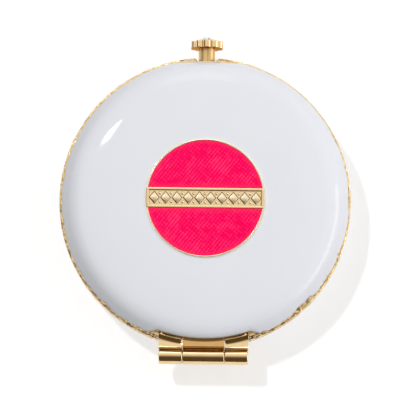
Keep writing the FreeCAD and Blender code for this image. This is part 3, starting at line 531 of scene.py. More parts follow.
class Paint(Nodes):
    """A material with a principled shader. The texture's measures are in millimetres."""

    def __init__(self, slot, name, **values):
        self.slot = slot
        self.material = bpy.data.materials.new(name)
        super().__init__(self.material)
        self.shader = self.tree.nodes["Principled BSDF"]
        for socket, value in values.items():
            self.shader.inputs[socket.replace("_", " ")].default_value = value
        self.place = self.node("TexCoord").outputs["Object"]

    def mapped(self, scale=(1, 1, 1), turn=(0, 0, 0)):
        scale = tuple(s / MM for s in scale)
        return self.node("Mapping", Vector=self.place, Scale=scale, Rotation=turn).outputs["Vector"]

    def noise(self, scale, detail=3.0, rough=0.5, stretch=(1, 1, 1)):
        return self.node("TexNoise", Vector=self.mapped(stretch), Scale=scale, Detail=detail,
                         Roughness=rough).outputs["Fac"]

    def round_place(self):
        """Distance from the case's axis, and the place along Y."""
        along, across, _ = self.node("SeparateXYZ", Vector=self.mapped()).outputs
        squares = self.math("ADD", self.math("POWER", along, 2.0), self.math("POWER", across, 2.0))
        return self.math("SQRT", squares), across

    def weighed(self, first, share, second, second_share):
        second = self.math("MULTIPLY", second, second_share)
        return self.math("ADD", self.math("MULTIPLY", first, share), second)

    def blend(self, value, first, second, low=0.3, high=0.7):
        """From one colour to another as a value goes from low to high."""
        return self.mix(self.spread(value, low, high), first, second)

    def done(self, colour, roughness=None, bump=None):
        """Feed the shader. Gives the slot's name with the material."""
        self.feed(self.shader.inputs["Base Color"], colour)
        if roughness:
            self.feed(self.shader.inputs["Roughness"], roughness)
        if bump:
            height, strength, distance = bump
            made = self.node("Bump", Height=height, Strength=strength, Distance=distance * MM)
            self.feed(self.shader.inputs["Normal"], made.outputs["Normal"])
        return self.slot, self.material


GILT = "gilt_brass"
GOLD_LIGHT = (0.80, 0.575, 0.275)
GOLD_DEEP = (0.69, 0.455, 0.19)
# Brown painted shade for the chased rim's hollows
CHASED_PAINTED_SHADE = (0.25, 0.132, 0.040)
# Brown painted shade for the medallion's panel
PANEL_PAINTED_SHADE = (0.50, 0.31, 0.12)
GOLD_PALE = (0.97, 0.85, 0.63)
GOLD_SOFT = (0.93, 0.71, 0.42)
GOLD_DRAWN = (0.62, 0.41, 0.18)
BUFFED_DEEP = (0.79, 0.575, 0.30)
BUFFED_LIGHT = (0.87, 0.66, 0.38)
# Orange-brown painted shade for the buffed gilt, in its colour and in its reflections' tint
BUFFED_PAINTED_SHADE = (0.75, 0.38, 0.06)
BUFFED_PAINTED_SHADE_TINT = (0.5, 0.29, 0.10)
PLAIN_WHITE = (1, 1, 1)


def polish(paint, smooth, rough):
    """The roughness and the faint ripple of polished metal."""
    wear = paint.spread(paint.noise(2.2, 6.0, 0.6), 0.3, 0.75, smooth, rough)
    return wear, (paint.noise(3.0, 5.0, 0.6, stretch=(0.25, 1, 1)), 0.05, 0.02)


def gold_polished():
    paint = Paint(GILT, "gilt_polished", Metallic=1.0)
    colour = paint.blend(paint.noise(0.35, 4.0), GOLD_DEEP, GOLD_LIGHT)
    return paint.done(colour, *polish(paint, 0.07, 0.15))


def gold_buffed():
    """A paler, closely buffed gilt for the hinge and the head. Painted shade turns its colour and its
    reflections orange-brown.
    """
    paint = Paint(GILT, "gilt_buffed", Metallic=1.0)
    depth = paint.attribute("painted_shade")
    bright = paint.blend(paint.noise(0.35, 4.0), BUFFED_DEEP, BUFFED_LIGHT)
    paint.feed(paint.shader.inputs["Specular Tint"], paint.mix(depth, PLAIN_WHITE, BUFFED_PAINTED_SHADE_TINT))
    return paint.done(paint.mix(depth, bright, BUFFED_PAINTED_SHADE), *polish(paint, 0.06, 0.13))


def gold_brushed():
    """A turned face, with fine rings about the case's axis."""
    paint = Paint(GILT, "gilt_turned", Metallic=1.0)
    radius, _ = paint.round_place()
    rings = paint.node("TexNoise", {"noise_dimensions": "1D"}, W=radius, Scale=7.0, Detail=4.0)
    rings = rings.outputs["Fac"]
    return paint.done(paint.blend(paint.noise(0.3, 3.0), GOLD_DEEP, GOLD_LIGHT),
                      paint.spread(rings, 0.3, 0.7, 0.14, 0.28), (rings, 0.12, 0.02))


def gold_chased():
    """Bright on its high places, with brown painted shade in its hollows."""
    paint = Paint(GILT, "gilt_chased", Metallic=1.0)
    depth = paint.attribute("painted_shade")
    bright = paint.blend(paint.noise(0.8, 4.0), GOLD_LIGHT, GOLD_SOFT)
    return paint.done(paint.blend(depth, bright, CHASED_PAINTED_SHADE, 0.25, 0.72),
                      paint.spread(depth, 0.0, 1.0, 0.10, 0.30), (paint.noise(4.5, 5.0, 0.6), 0.2, 0.05))


def gold_panel():
    """Painted shade: pale on its high places, deeper gold on the ground, brown in its hollows."""
    paint = Paint(GILT, "gilt_stippled", Metallic=1.0)
    stipple = paint.noise(5.0, 3.0, 0.6)
    depth = paint.attribute("painted_shade")
    bright = paint.blend(stipple, GOLD_SOFT, GOLD_PALE, 0.35, 0.65)
    ground = paint.blend(stipple, GOLD_LIGHT, GOLD_SOFT, 0.35, 0.65)
    upper = paint.blend(depth, bright, ground, 0.0, 0.5)
    return paint.done(paint.blend(depth, upper, PANEL_PAINTED_SHADE, 0.5, 1.0),
                      paint.spread(stipple, 0.3, 0.7, 0.12, 0.24), (stipple, 0.2, 0.03))


def white_enamel():
    paint = Paint("white_enamel", "enamel_white", IOR=1.52, Specular_IOR_Level=0.25)
    cloud = paint.noise(0.08, 3.0)
    tone = paint.weighed(cloud, 0.8, paint.noise(2.0, 2.0), 0.2)
    return paint.done(paint.blend(tone, (0.742, 0.755, 0.798), (0.761, 0.771, 0.810)),
                      paint.spread(cloud, 0.3, 0.7, 0.03, 0.06), (paint.noise(0.5, 1.0), 0.02, 0.03))


def pink_enamel():
    """Pink over a fine engine-turned hatch, warmer beside the gold."""
    paint = Paint("pink_enamel", "enamel_pink", IOR=1.5, Specular_IOR_Level=0.05)
    hatch = []
    for turn, spacing in ((radians(38), 0.47), (radians(-52), 0.43)):
        wave = paint.node("TexWave", {"wave_type": "BANDS", "bands_direction": "X"},
                          Vector=paint.mapped(turn=(0, 0, turn)), Scale=spacing, Distortion=0.8,
                          Detail=2.0, Detail_Scale=1.0)
        hatch.append(wave.outputs["Fac"])
    cloud = paint.noise(0.22, 4.0, 0.6)
    lines = paint.math("MULTIPLY", hatch[0], paint.spread(cloud, 0.3, 0.75, 0.3, 1.0))
    cross = paint.math("MULTIPLY", hatch[1], paint.spread(cloud, 0.25, 0.7, 0.8, 0.1))
    blot = paint.weighed(paint.noise(0.9, 3.0, 0.6), 0.6, cloud, 0.5)
    tone = paint.math("ADD", paint.weighed(lines, 0.36, cross, 0.26), blot)
    body = paint.blend(tone, (0.955, 0.0, 0.098), (1.0, 0.034, 0.155), 0.66, 1.0)
    radius, across = paint.round_place()
    by_border = paint.spread(radius, 12.0, BORDER_INNER)
    by_bar = paint.spread(paint.math("ABSOLUTE", across), BAR_HALF, BAR_HALF + 1.2, 1.0, 0.0)
    warm = paint.math("MULTIPLY", paint.math("MAXIMUM", by_border, by_bar), 0.6)
    return paint.done(paint.mix(warm, body, (1.0, 0.03, 0.11)), paint.spread(cloud, 0.3, 0.7, 0.14, 0.22),
                      (paint.noise(0.6, 2.0), 0.04, 0.03))


def one_noise(slot, name, grain, colours, reach=(0.3, 0.7), rough=None, bump=None, **values):
    """A material whose one noise drives its colour, roughness and bump."""
    paint = Paint(slot, name, **values)
    value = paint.noise(*grain)
    return paint.done(paint.blend(value, *colours, *reach), rough and paint.spread(value, *rough),
                      bump and (value, *bump))


POLISHED = gold_polished()
BUFFED = gold_buffed()
BRUSHED = gold_brushed()
CHASED = gold_chased()
STIPPLED = gold_panel()
WHITE = white_enamel()
PINK = pink_enamel()
STREAKED = one_noise(GILT, "gilt_drawn", (2.4, 4.0, 0.55, (1, 0.06, 1)), (GOLD_DRAWN, GOLD_LIGHT),
                     (0.38, 0.62), (0.3, 0.7, 0.34, 0.48), (0.4, 0.05), Metallic=1.0)
SILVER = one_noise("mirror_glass", "mirror_silver", (0.12, 3.0), ((0.86, 0.88, 0.89), (0.90, 0.915, 0.92)),
                   rough=(0.3, 0.7, 0.005, 0.02), Metallic=1.0)
# A clear stone, with dark grey patches painted in as the reflections that show its facets
CRYSTAL_PAINTED_REFLECTION = one_noise("crystal", "cut_crystal", (1.0, 2.0), ((0.30, 0.31, 0.34), (0.95, 0.95, 0.97)),
                  (0.35, 0.6), IOR=1.56, Transmission_Weight=0.55, Roughness=0.02)
FELT = one_noise("backing_felt", "backing_felt", (3.0, 6.0, 0.7), ((0.05, 0.05, 0.055), (0.12, 0.12, 0.13)),
                 (0.0, 1.0), (0.2, 0.8, 0.85, 1.0), (0.6, 0.15), Sheen_Weight=0.3)
STEEL = one_noise("spring_steel", "spring_steel", (2.5, 4.0), ((0.50, 0.51, 0.52), (0.66, 0.67, 0.68)),
                  (0.0, 1.0), (0.3, 0.7, 0.2, 0.32), Metallic=1.0)


# Enamel domes
def case_angles(steps, fine_places):
    """Even steps round the case, with finer ones at some places."""
    marks = set(np.round(np.linspace(0, TAU, steps, endpoint=False), 6))
    for centre, reach, count in fine_places:
        marks |= set(np.round((centre + np.linspace(-reach, reach, count)) % TAU, 6))
    return np.array(sorted(marks))


def both_sides(centre, away, reach, count):
    return [(centre + sign * away, reach, count) for sign in (-1, 1)]


def nick(angle):
    """How far the chasing bites into the enamel's edge, most towards the hinge."""
    spot = Vector(polar(NICK_GRAIN, angle, NICK_SEED))
    bite = 0.75 * noise.noise(spot) + 0.35 * noise.noise(spot * 6.0) + 0.10
    return clamp(0.55 - 0.6 * sin(angle), 0.1) * clamp(bite, 0.0, NICK_LIMIT)


def enamel_flow(angle):
    """How far the fired enamel has run out over the rim."""
    return FLOW_OUT * max(cos(angle - FLOW_ANGLE), 0.0) ** 2


def enamel_reach(angle):
    """The enamel's edge, straight at the stem and flared at the hinge."""
    reach = ENAMEL_RADIUS + enamel_flow(angle) - nick(angle)
    if sin(angle) > STEM_SIDE:
        reach = min(reach, ENAMEL_CHORD / sin(angle))
    away = abs(angle - HINGE_ANGLE)
    if away <= ENAMEL_SIDE:
        return RECESS_RADIUS
    if away < 2 * ENAMEL_SIDE:
        start = RECESS_RADIUS * cos(ENAMEL_SIDE) - RECESS_FLARE * ENAMEL_GAP_HALF
        reach = min(reach, start / (cos(away) - RECESS_FLARE * sin(away)))
    return reach


def meniscus(radius):
    """How much the enamel creeps up where it wets the medallion's edge."""
    away = (radius - MEDALLION_RADIUS) / MENISCUS_WIDTH
    return MENISCUS_RISE * (1 - away) ** 3 if 0 < away < 1 else 0.0


def face_height(radius):
    """The dome's face, where the fired enamel stands proud on the shoulder."""
    rising = (radius - SHOULDER_START) / (SWELL_PEAK - SHOULDER_START)
    falling = (SWELL_END - radius) / (SWELL_END - SWELL_PEAK)
    share = clamp(min(rising, falling))
    return dome_height(radius) + SWELL_RISE * share * share * (3 - 2 * share)


def enamel_shell(half):
    """The dome's face, its soft edge, and the underside that lies on the pan."""
    creep = 1 if half == LID else 0
    fine = both_sides(HINGE_ANGLE, ENAMEL_SIDE + 0.03, 0.05, 31) + [(STEM_ANGLE, 0.21, 81)]
    angles = case_angles(640, fine)
    steady = [*FACE_RADII, *np.linspace(FACE_START, SHOULDER_START, 16)]
    steady += [*np.linspace(SHOULDER_START, FLOW_START, 10)[1:]]
    face = [(r, face_height(r) + creep * meniscus(r)) for r in steady]
    columns = []
    for angle in angles:
        reach = enamel_reach(angle)
        shrink = (ENAMEL_RADIUS - FLOW_START) / (ENAMEL_RADIUS + enamel_flow(angle) - FLOW_START)
        inner = min(reach, UNDERSIDE_EDGE)
        floor = max(BAND_HEIGHT, dome_height(inner, ENAMEL_DEPTH))
        top = face_height(FLOW_START + (reach - FLOW_START) * shrink)
        limit, share = EDGE_SOFT_FRONT if sin(angle) < 0 else EDGE_SOFT_BACK
        soft = min(limit, share * max(top - floor, 0.0) + EDGE_SOFT_LEAST)
        profile = list(face)
        for radius in np.linspace(FLOW_START, reach - soft, 12)[1:]:
            profile.append((radius, face_height(FLOW_START + (radius - FLOW_START) * shrink)))
        first, corner = np.array(profile[-1]), np.array((reach, top))
        last = np.array((reach, max(top - soft, floor)))
        profile += [curve(first, corner, last, step / 5) for step in range(1, 6)]
        profile += [(reach, floor), (inner, floor)]
        profile += [(r, dome_height(r, ENAMEL_DEPTH)) for r in (DOME_EDGE, *DOME_RADII)]
        columns.append([polar(r, angle, h) for r, h in profile])
    return capped(column_shell(columns), len(angles))


def make_enamels():
    for half, place in ((LID, IN_LID), (BASE, MIRRORED)):
        make_piece(f"{half}_enamel_dome", enamel_shell(half), place, half, f"{half}_enamel", WHITE, sharp=40)


# Pans, with the chased rim: overlapping slanted strokes, as left by a chasing tool
def stroke_depth(angle, down, seed):
    """How deep the chasing lies, from 0 on the high places to 1 in the hollows."""
    spot = Vector(polar(STROKE_GRAIN, angle + down * STROKE_SLANT, down * STROKE_ROWS + seed))
    distances, centres = noise.voronoi(spot)
    edge = clamp((distances[1] - distances[0]) * 2.6)
    tone = 0.5 + 0.5 * noise.cell(centres[0] * 5.3)
    grain = noise.noise(spot * 2.6)
    return clamp(0.40 * (1 - edge) + 1.3 * tone + 0.6 * grain - 0.55)


def pan_reach(angle):
    """The band's radius before the chasing, and the chasing's share there."""
    share = 1.0
    reach = CASE_RADIUS
    if sin(angle) > STEM_SIDE:
        across = abs(CASE_RADIUS * cos(angle))
        mouth = SLOT_HALF + SLOT_ROUND
        if across < SLOT_HALF:
            reach, share = (CHORD + SLOT_LEDGE) / sin(angle), 0.0
        elif across < mouth:
            shoulder = sqrt(CASE_RADIUS ** 2 - mouth ** 2)
            rise = shoulder - SLOT_ROUND + sqrt(SLOT_ROUND ** 2 - (mouth - across) ** 2)
            reach = rise / sin(angle)
    inside = clamp((PAN_SIDE - abs(angle - HINGE_ANGLE)) / RECESS_STEEP + 0.5)
    return reach + (RECESS_RADIUS - reach) * inside, share * (1 - inside)


def bare_drop(angle, row, drop):
    """How low the rim's bare top lies, on the hinge's tabs and between the beads."""
    drop *= clamp((TAB_END - abs(angle - HINGE_ANGLE)) / TAB_FADE)
    across = CASE_RADIUS * cos(angle)
    if sin(angle) < STEM_SIDE or abs(across) > BEAD_REACH:
        return drop
    fade = min((BEAD_REACH - abs(across)) / BEAD_FADE, 1.0)
    return drop + BEAD_DEPTH * fade * (0.5 - 0.5 * cos(TAU * (across / BEAD_PITCH + 0.5 * row)))


def column_angle(angle, radius):
    """Columns run straight out at the stem and the hinge, for straight sides."""
    for centre, reach, fade, start, kept in STRAIGHT_PLACES:
        aside = angle - centre
        share = clamp((reach - abs(aside)) / fade)
        if share > 0 and radius > start:
            return angle + (asin(kept * sin(aside) / radius) - aside) * share
    return angle


def pan_shell(seed):
    """The chased band, the ledge for the mirror's ring, and the dome, with painted shade for the band."""
    fine = both_sides(HINGE_ANGLE, PAN_SIDE, 0.003, 9) + [(STEM_ANGLE, 0.1, 121)]
    fine += both_sides(STEM_ANGLE, SLOT_HALF / CASE_RADIUS, 0.001, 3)
    band_top = BAND_HEIGHT - SEAT_GAP
    skin = ENAMEL_DEPTH + SEAT_GAP
    columns, painted_shades = [], []
    for angle in case_angles(1400, fine):
        reach, share = pan_reach(angle)
        arch, bare = 0.0, 0.0
        if sin(angle) > STEM_SIDE:
            across = abs(CASE_RADIUS * cos(angle))
            arch = sqrt(max(STEM_BORE ** 2 - across ** 2, 0.0))
            bare = clamp((BARE_REACH - across) / BARE_FADE)
        low = max(RIM_GAP, arch)
        seat = min(SEAT_RADIUS, reach - SEAT_EDGE)
        profile = [(seat, band_top, 0.0)]
        # The tabs' dips and the gaps between the beads take painted shade
        for row, (radius, drop) in enumerate(TAB_ROWS):
            drop = bare_drop(angle, row, drop) * share
            chased = TAB_CHASE_SHARE * share if radius > CHASE_START else 0.0
            chased *= 1 - BARE_CALM_SHARE * bare
            depth = chased * stroke_depth(angle, radius - CASE_RADIUS + RIM_CURL, seed)
            out = min(radius, reach - TAB_CROWD_SHARE * (TAB_LIMIT - radius))
            height = band_top - drop - TAB_CHASE_DEPTH * depth
            profile.append((out, height, max(drop / TAB_SHADE_DEPTH, depth)))
        # Down the rim, painted shade lies in the chasing's hollows and on the bare top by the stem
        for down in RIM_DROPS:
            height = band_top - (band_top - low) * down / RIM_DROPS[-1]
            curl = RIM_CURL * quarter(min(down, RIM_DROPS[-1] - down) / CURL_HEIGHT)
            depth = stroke_depth(angle, down + RIM_CURL - curl, seed)
            lift = -EDGE_CHASE_DEPTH * depth * share if down == 0 else 0.0
            out = reach - share * (CHASE_DEPTH * depth + curl)
            profile.append((out, height + lift, depth * share + BARE_SHADE * bare))
        ledge = max(FRAME_BACK + SEAT_GAP, arch, low + LEDGE_LEAST)
        plain = [((reach + RIM_INNER) / 2 if share == 0 else BAND_FOOT, low), (RIM_INNER + RIM_CHAMFER, low),
                 (RIM_INNER, low + RIM_CHAMFER), (RIM_INNER, ledge), (LEDGE_INNER, ledge)]
        plain += [(r, dome_height(r, skin + PAN_WALL)) for r in (LEDGE_INNER - 0.02, *DOME_RADII)]
        for radius in (*DOME_RADII[::-1], DOME_EDGE, SEAT_INNER):
            radius = min(radius, seat - 0.01)
            plain.append((radius, dome_height(radius, skin)))
        profile += [(r, h, 0.0) for r, h in plain]
        columns.append([polar(r, column_angle(angle, r), h) for r, h, _ in profile])
        # Painted shade is weaker towards the stem's side of the case, but kept beside the stem
        tone = min(max(0.75 - 0.35 * sin(angle), 0.4) + 0.5 * bare, 1.0)
        painted_shades.append([depth * tone for _, _, depth in profile])
    return column_shell(columns, wrap_rows=True), np.array(painted_shades).T.reshape(-1)


def make_pans():
    for half, place, seed in ((LID, IN_LID, 3.7), (BASE, MIRRORED, 11.3)):
        shell, painted_shade = pan_shell(seed)
        make_piece(f"{half}_case_pan", shell, place, half, f"{half}_pan", CHASED, sharp=50, painted_shade=painted_shade)


# Mirrors: ring, glass and pad
def frame_shell():
    """The ring round the glass, cut back where the latch passes."""
    fine = both_sides(STEM_ANGLE, NOTCH_ANGLE, 0.0006, 3) + [(STEM_ANGLE, NOTCH_ANGLE, 17)]
    columns = []
    for angle in case_angles(360, fine):
        outer = NOTCH_START / sin(angle) if abs(angle - STEM_ANGLE) < NOTCH_ANGLE else FRAME_RADIUS
        outline = [(APERTURE, FRAME_BACK), (APERTURE, FRAME_FACE + FRAME_BEVEL),
                   (APERTURE + FRAME_BEVEL, FRAME_FACE), (outer, FRAME_FACE), (outer, FRAME_BACK)]
        columns.append([polar(r, angle, h) for r, h in softened(outline, FRAME_SOFT)])
    return column_shell(columns, wrap_rows=True)


def make_mirrors():
    ring = frame_shell()
    edge = GLASS_RADIUS - GLASS_BEVEL
    sides = [(edge, GLASS_FACE), (GLASS_RADIUS, GLASS_FACE + GLASS_BEVEL), (GLASS_RADIUS, GLASS_BACK),
             (CAP_RADIUS, GLASS_BACK)]
    hollow_face = []
    for radius in np.linspace(CAP_RADIUS, edge, 24)[:-1]:
        rise = sqrt(MAGNIFIER_BEND ** 2 - radius ** 2) - sqrt(MAGNIFIER_BEND ** 2 - edge ** 2)
        hollow_face.append((radius, GLASS_FACE + rise))
    pad_top = GLASS_BACK + SEAT_GAP
    pad_depth = ENAMEL_DEPTH + 2 * SEAT_GAP + PAN_WALL
    back = [(CAP_RADIUS, pad_top), (PAD_RADIUS, pad_top)]
    for radius in PAD_RADII:
        back.append((radius, dome_height(radius, pad_depth)))
    pad = disc_of(back, 96)
    for half, place, face in ((LID, IN_LID, [(CAP_RADIUS, GLASS_FACE)]), (BASE, IN_BASE, hollow_face)):
        make_piece(f"{half}_mirror_ring", ring, place, half, f"{half}_mirror_frame", BRUSHED)
        glass = disc_of(face + sides, 192)
        make_piece(f"{half}_mirror_glass", glass, place, half, f"{half}_mirror", SILVER, sharp=25)
        piece = make_piece(f"{half}_backing_pad", pad, place, half, f"{half}_mirror_pad", FELT)


# Medallion: disc with its border wire, bar with a sunk panel, two half moons of enamel
def border_wire(outer):
    """The rounded border, from its outer foot to its inner one."""
    middle, half = (BORDER_INNER + outer) / 2, (outer - BORDER_INNER) / 2
    rise = half * 0.8
    arc = [(middle - half * cos(a), BORDER_TOP - rise + rise * sin(a)) for a in np.linspace(pi, 0, 8)]
    return [(outer, DISC_TOP)] + arc + [(BORDER_INNER, DISC_TOP)]


def bar_loop(half, end_of, level):
    """One loop round the bar, from its lower left corner."""
    corner = end_of(half)
    along, up = np.linspace(-1, 1, 60), np.linspace(-1, 1, 9)[1:-1]
    loop = [(corner * t, -half, level) for t in along]
    loop += [(end_of(half * t), half * t, level) for t in up]
    loop += [(corner * t, half, level) for t in along[::-1]]
    return loop + [(-end_of(half * t), half * t, level) for t in up[::-1]]


def bar_shell():
    """The bar's soft edge, the frame round its panel, and the panel's ground, with their painted shade."""
    def round_end(inset):
        return lambda across: sqrt((MEDALLION_RADIUS - inset) ** 2 - across ** 2)

    def square_end(inset):
        return lambda across: PANEL_END - inset

    rows = [bar_loop(BAR_HALF - inset, round_end(end), level) for inset, end, level, _ in BAR_ROWS]
    rows += [bar_loop(PANEL_HALF - inset, square_end(inset), level) for inset, level, _ in PANEL_ROWS]
    painted_shade = [row[-1] for row in BAR_ROWS + PANEL_ROWS]
    width = len(rows[0])
    return capped(grid_shell(rows), width), np.repeat(painted_shade, width)


def lozenge_row():
    """A row of small cut lozenges with beads between, on the panel's ground, with painted shade at their
    feet.
    """
    arc = [(STUD_RADIUS * sin(a), PANEL_FLOOR + STUD_RISE * cos(a)) for a in np.linspace(0.2, pi / 2, 6)]
    stud = disc_of([*arc, *STUD_FOOT], 20)
    stud_painted_shade = np.repeat(STUD_SHADES, 20).tolist()
    foot = [(LOZENGE_REACH, 0), (0, LOZENGE_HALF), (-LOZENGE_REACH, 0), (0, -LOZENGE_HALF)]
    pitch = 2 * (PANEL_END - LOZENGE_END) / (LOZENGE_COUNT - 1)
    shells, painted_shade = [], []
    for number in range(LOZENGE_COUNT):
        centre = (number - (LOZENGE_COUNT - 1) / 2) * pitch
        rows = []
        for share, rise, shade in LOZENGE_ROWS:
            rows.append([(centre + x * share, y * share, PANEL_FLOOR + rise) for x, y in foot])
            painted_shade += [shade] * 4
        shells.append(capped(grid_shell(rows), 4))
        if number < LOZENGE_COUNT - 1:
            for side in (-STUD_ASIDE, STUD_ASIDE):
                shells.append(moved(stud, Matrix.Translation((centre + pitch / 2, side, 0))))
                painted_shade += stud_painted_shade
    return joined(*shells), painted_shade


def half_moon(sign):
    """Enamel between the bar and the border, dished a little."""
    outer = BORDER_INNER - INLAY_FIT
    inner = BAR_HALF + INLAY_FIT
    end = acos(sqrt(outer ** 2 - inner ** 2) / outer)
    arc = [(outer * cos(a), outer * sin(a)) for a in np.linspace(end, pi - end, 90)]
    line = [(x, inner) for x in np.linspace(arc[-1][0], arc[0][0], 50)[1:-1]]
    outline = np.array(arc + line) * (1, sign)
    heart = np.array((0, INLAY_HEART * sign))
    rows = []
    for share, sink in INLAY_ROWS:
        ring = heart + (outline - heart) * share
        rows.append(np.column_stack([ring, np.full(len(ring), INLAY_TOP - sink)]))
    return capped(grid_shell(rows), len(outline))


def make_medallion():
    rim = MEDALLION_RADIUS - SEAT_GAP
    plate = disc_of([(DISC_CAP, 0.0), (rim, 0.0), *border_wire(rim), (DISC_CAP, DISC_TOP)], 256)
    bar, bar_painted_shade = bar_shell()
    ornament, ornament_painted_shade = lozenge_row()
    painted_shade = np.concatenate([np.zeros(len(plate[0])), bar_painted_shade, ornament_painted_shade])
    make_piece("medallion_disc_and_bar", joined(plate, bar, ornament), ON_LID, LID, "medallion_plate",
               STIPPLED, sharp=24, painted_shade=painted_shade)
    for name, sign in (("upper", 1), ("lower", -1)):
        make_piece(f"medallion_inlay_{name}", half_moon(sign), ON_LID, LID, f"medallion_enamel_{name}",
                   PINK, sharp=60)


# Hinge
def barrel(bore, length, soft):
    half = length / 2
    outline = [(bore, -half), (BARREL_RADIUS, -half), (BARREL_RADIUS, half), (bore, half)]
    return moved(lathe(softened(outline, soft, 6), 64), ALONG_X)


def barrel_edge(height):
    return HINGE_REACH - sqrt(BARREL_RADIUS ** 2 - height ** 2)


def out_at(radius, x):
    """How far out a circle about the case's axis lies, at a place along X."""
    return sqrt(radius ** 2 - x ** 2)


def scoop_points(outer):
    """The scooped face, from the leaf's top to the saddle's."""
    first, last = np.array((outer, LEAF_TOP)), np.array((SADDLE_INNER + SADDLE_LIP, SADDLE_TOP))
    chord = last - first
    length = np.linalg.norm(chord)
    square = np.array((chord[1], -chord[0])) / length
    centre = (first + last) / 2 + square * sqrt(SCOOP_BEND ** 2 - (length / 2) ** 2)
    ends = np.unwrap([atan2(point[1] - centre[1], point[0] - centre[0]) for point in (first, last)])
    return [tuple(centre + SCOOP_BEND * np.array((cos(a), sin(a)))) for a in np.linspace(*ends, 9)]


def leaf_shell(start, end, half):
    """The leaf and its scooped saddle, between two places along the pin."""
    rows = []
    for x in np.linspace(start, end, LEAF_STATIONS):
        wall = out_at(SADDLE_INNER, x)
        profile = [(wall, LEAF_LOW)]
        if half == LID:
            scoop = SCOOP_OUTER - SCOOP_END_DEEP * quarter((abs(x) - SCOOP_START) / SCOOP_END_WIDE)
            crease_height = LEAF_TOP - CREASE_DEPTH
            crease = barrel_edge(crease_height)
            lip = crease - CREASE_WIDTH
            profile += [(LEAF_CORE, LEAF_LOW), (LEAF_CORE, crease_height),
                        (crease - CREASE_FIT, crease_height), (lip + CREASE_LIP, LEAF_TOP - CREASE_FIT)]
            foot = out_at(scoop, x)
            for share in np.linspace(1, 0, 7)[:-1]:
                rise = LEAF_RISE_SHARE * (lip - foot) * share ** 2
                profile.append((foot + (lip - foot) * share, LEAF_TOP + rise))
        else:
            scoop = SCOOP_OUTER
            groove_height = LEAF_LOW + GROOVE_DEPTH
            groove = barrel_edge(groove_height)
            profile += [(groove - GROOVE_WIDTH, LEAF_LOW), (groove, groove_height),
                        (LEAF_CORE, groove_height)]
            profile += [(LEAF_CORE, LEAF_TOP), (barrel_edge(LEAF_TOP) - SADDLE_FOOT, LEAF_TOP)]
        profile += [(out_at(r, x), h) for r, h in scoop_points(scoop)]
        profile.append((wall, SADDLE_TOP))
        rows.append([(x, -out, h) for out, h in profile])
    return capped(grid_shell(rows), len(rows[0]))


def strip_shell(start, end):
    """A thin strip along the recess, leaning back to the case."""
    rows = []
    for x in np.linspace(start, end, 24):
        inner, outer = out_at(SADDLE_INNER, x), out_at(STRIP_OUTER, x)
        rows.append([(x, -inner, LEAF_LOW), (x, -outer, LEAF_LOW), (x, -outer, LEAF_LOW + STRIP_FOOT),
                     (x, -inner - SADDLE_LIP, SADDLE_TOP), (x, -inner, SADDLE_TOP)])
    return capped(grid_shell(rows), 5)


def make_hinge():
    on_axis = Matrix.Translation((0, -HINGE_REACH, PARTING))
    side = SIDE_END - SIDE_START
    barrels, leaves, wings = [], [], []
    for sign in (-1, 1):
        shift = Matrix.Translation((sign * (SIDE_START + side / 2), 0, 0))
        barrels.append(moved(barrel(PIN_RADIUS + SEAT_GAP, side, SIDE_SOFT), on_axis @ shift))
        leaves.append(moved(leaf_shell(*sorted((sign * SIDE_START, sign * SIDE_END)), LID), IN_LID))
        wing = sorted((sign * (MIDDLE_HALF - STRIP_LAP), sign * SIDE_END))
        wings.append(moved(strip_shell(*wing), MIRRORED))
    strip = moved(strip_shell(-SIDE_START - STRIP_LAP, SIDE_START + STRIP_LAP), IN_LID)
    knuckles = joined(*barrels, *leaves, strip)
    make_piece("lid_hinge_knuckles", knuckles, HERE, LID, "lid_hinge_leaf", BUFFED, sharp=35)
    middle = moved(barrel(PIN_RADIUS + PIN_PLAY, 2 * MIDDLE_HALF, MIDDLE_SOFT), on_axis)
    saddle = moved(leaf_shell(-MIDDLE_HALF, MIDDLE_HALF, BASE), MIRRORED)
    # Painted shade in the groove beside the barrel
    groove = np.zeros(len(saddle[0]) // LEAF_STATIONS)
    groove[:4] = GROOVE_SHADES
    painted_shade = np.concatenate([np.zeros(len(middle[0])), np.tile(groove, LEAF_STATIONS),
                             np.zeros(sum(len(wing[0]) for wing in wings))])
    knuckle = joined(middle, saddle, *wings)
    make_piece("base_hinge_knuckle", knuckle, HERE, BASE, "base_hinge_leaf", BUFFED, sharp=22, painted_shade=painted_shade)
    outline = [(ROD_CAP, -PIN_END), (PIN_RADIUS, -PIN_END), (PIN_RADIUS, PIN_END), (ROD_CAP, PIN_END)]
    pin = disc_of(softened(outline, PIN_SOFT, 4), 32)
    make_piece("hinge_pin_rod", pin, on_axis @ ALONG_X, LID, "hinge_pin", POLISHED)


# Push button
def lobe_reach(angle, inset):
    """Outline of the lobed head, set in by an amount."""
    step = TAU / LOBE_COUNT
    away = (angle - pi / 2 + step / 2) % step - step / 2
    inside = (LOBE_RADIUS - inset) ** 2 - (LOBE_CENTRE * sin(away)) ** 2
    if inside <= 0:
        return LOBE_CENTRE
    return max(LOBE_CENTRE, LOBE_CENTRE * cos(away) + sqrt(inside))


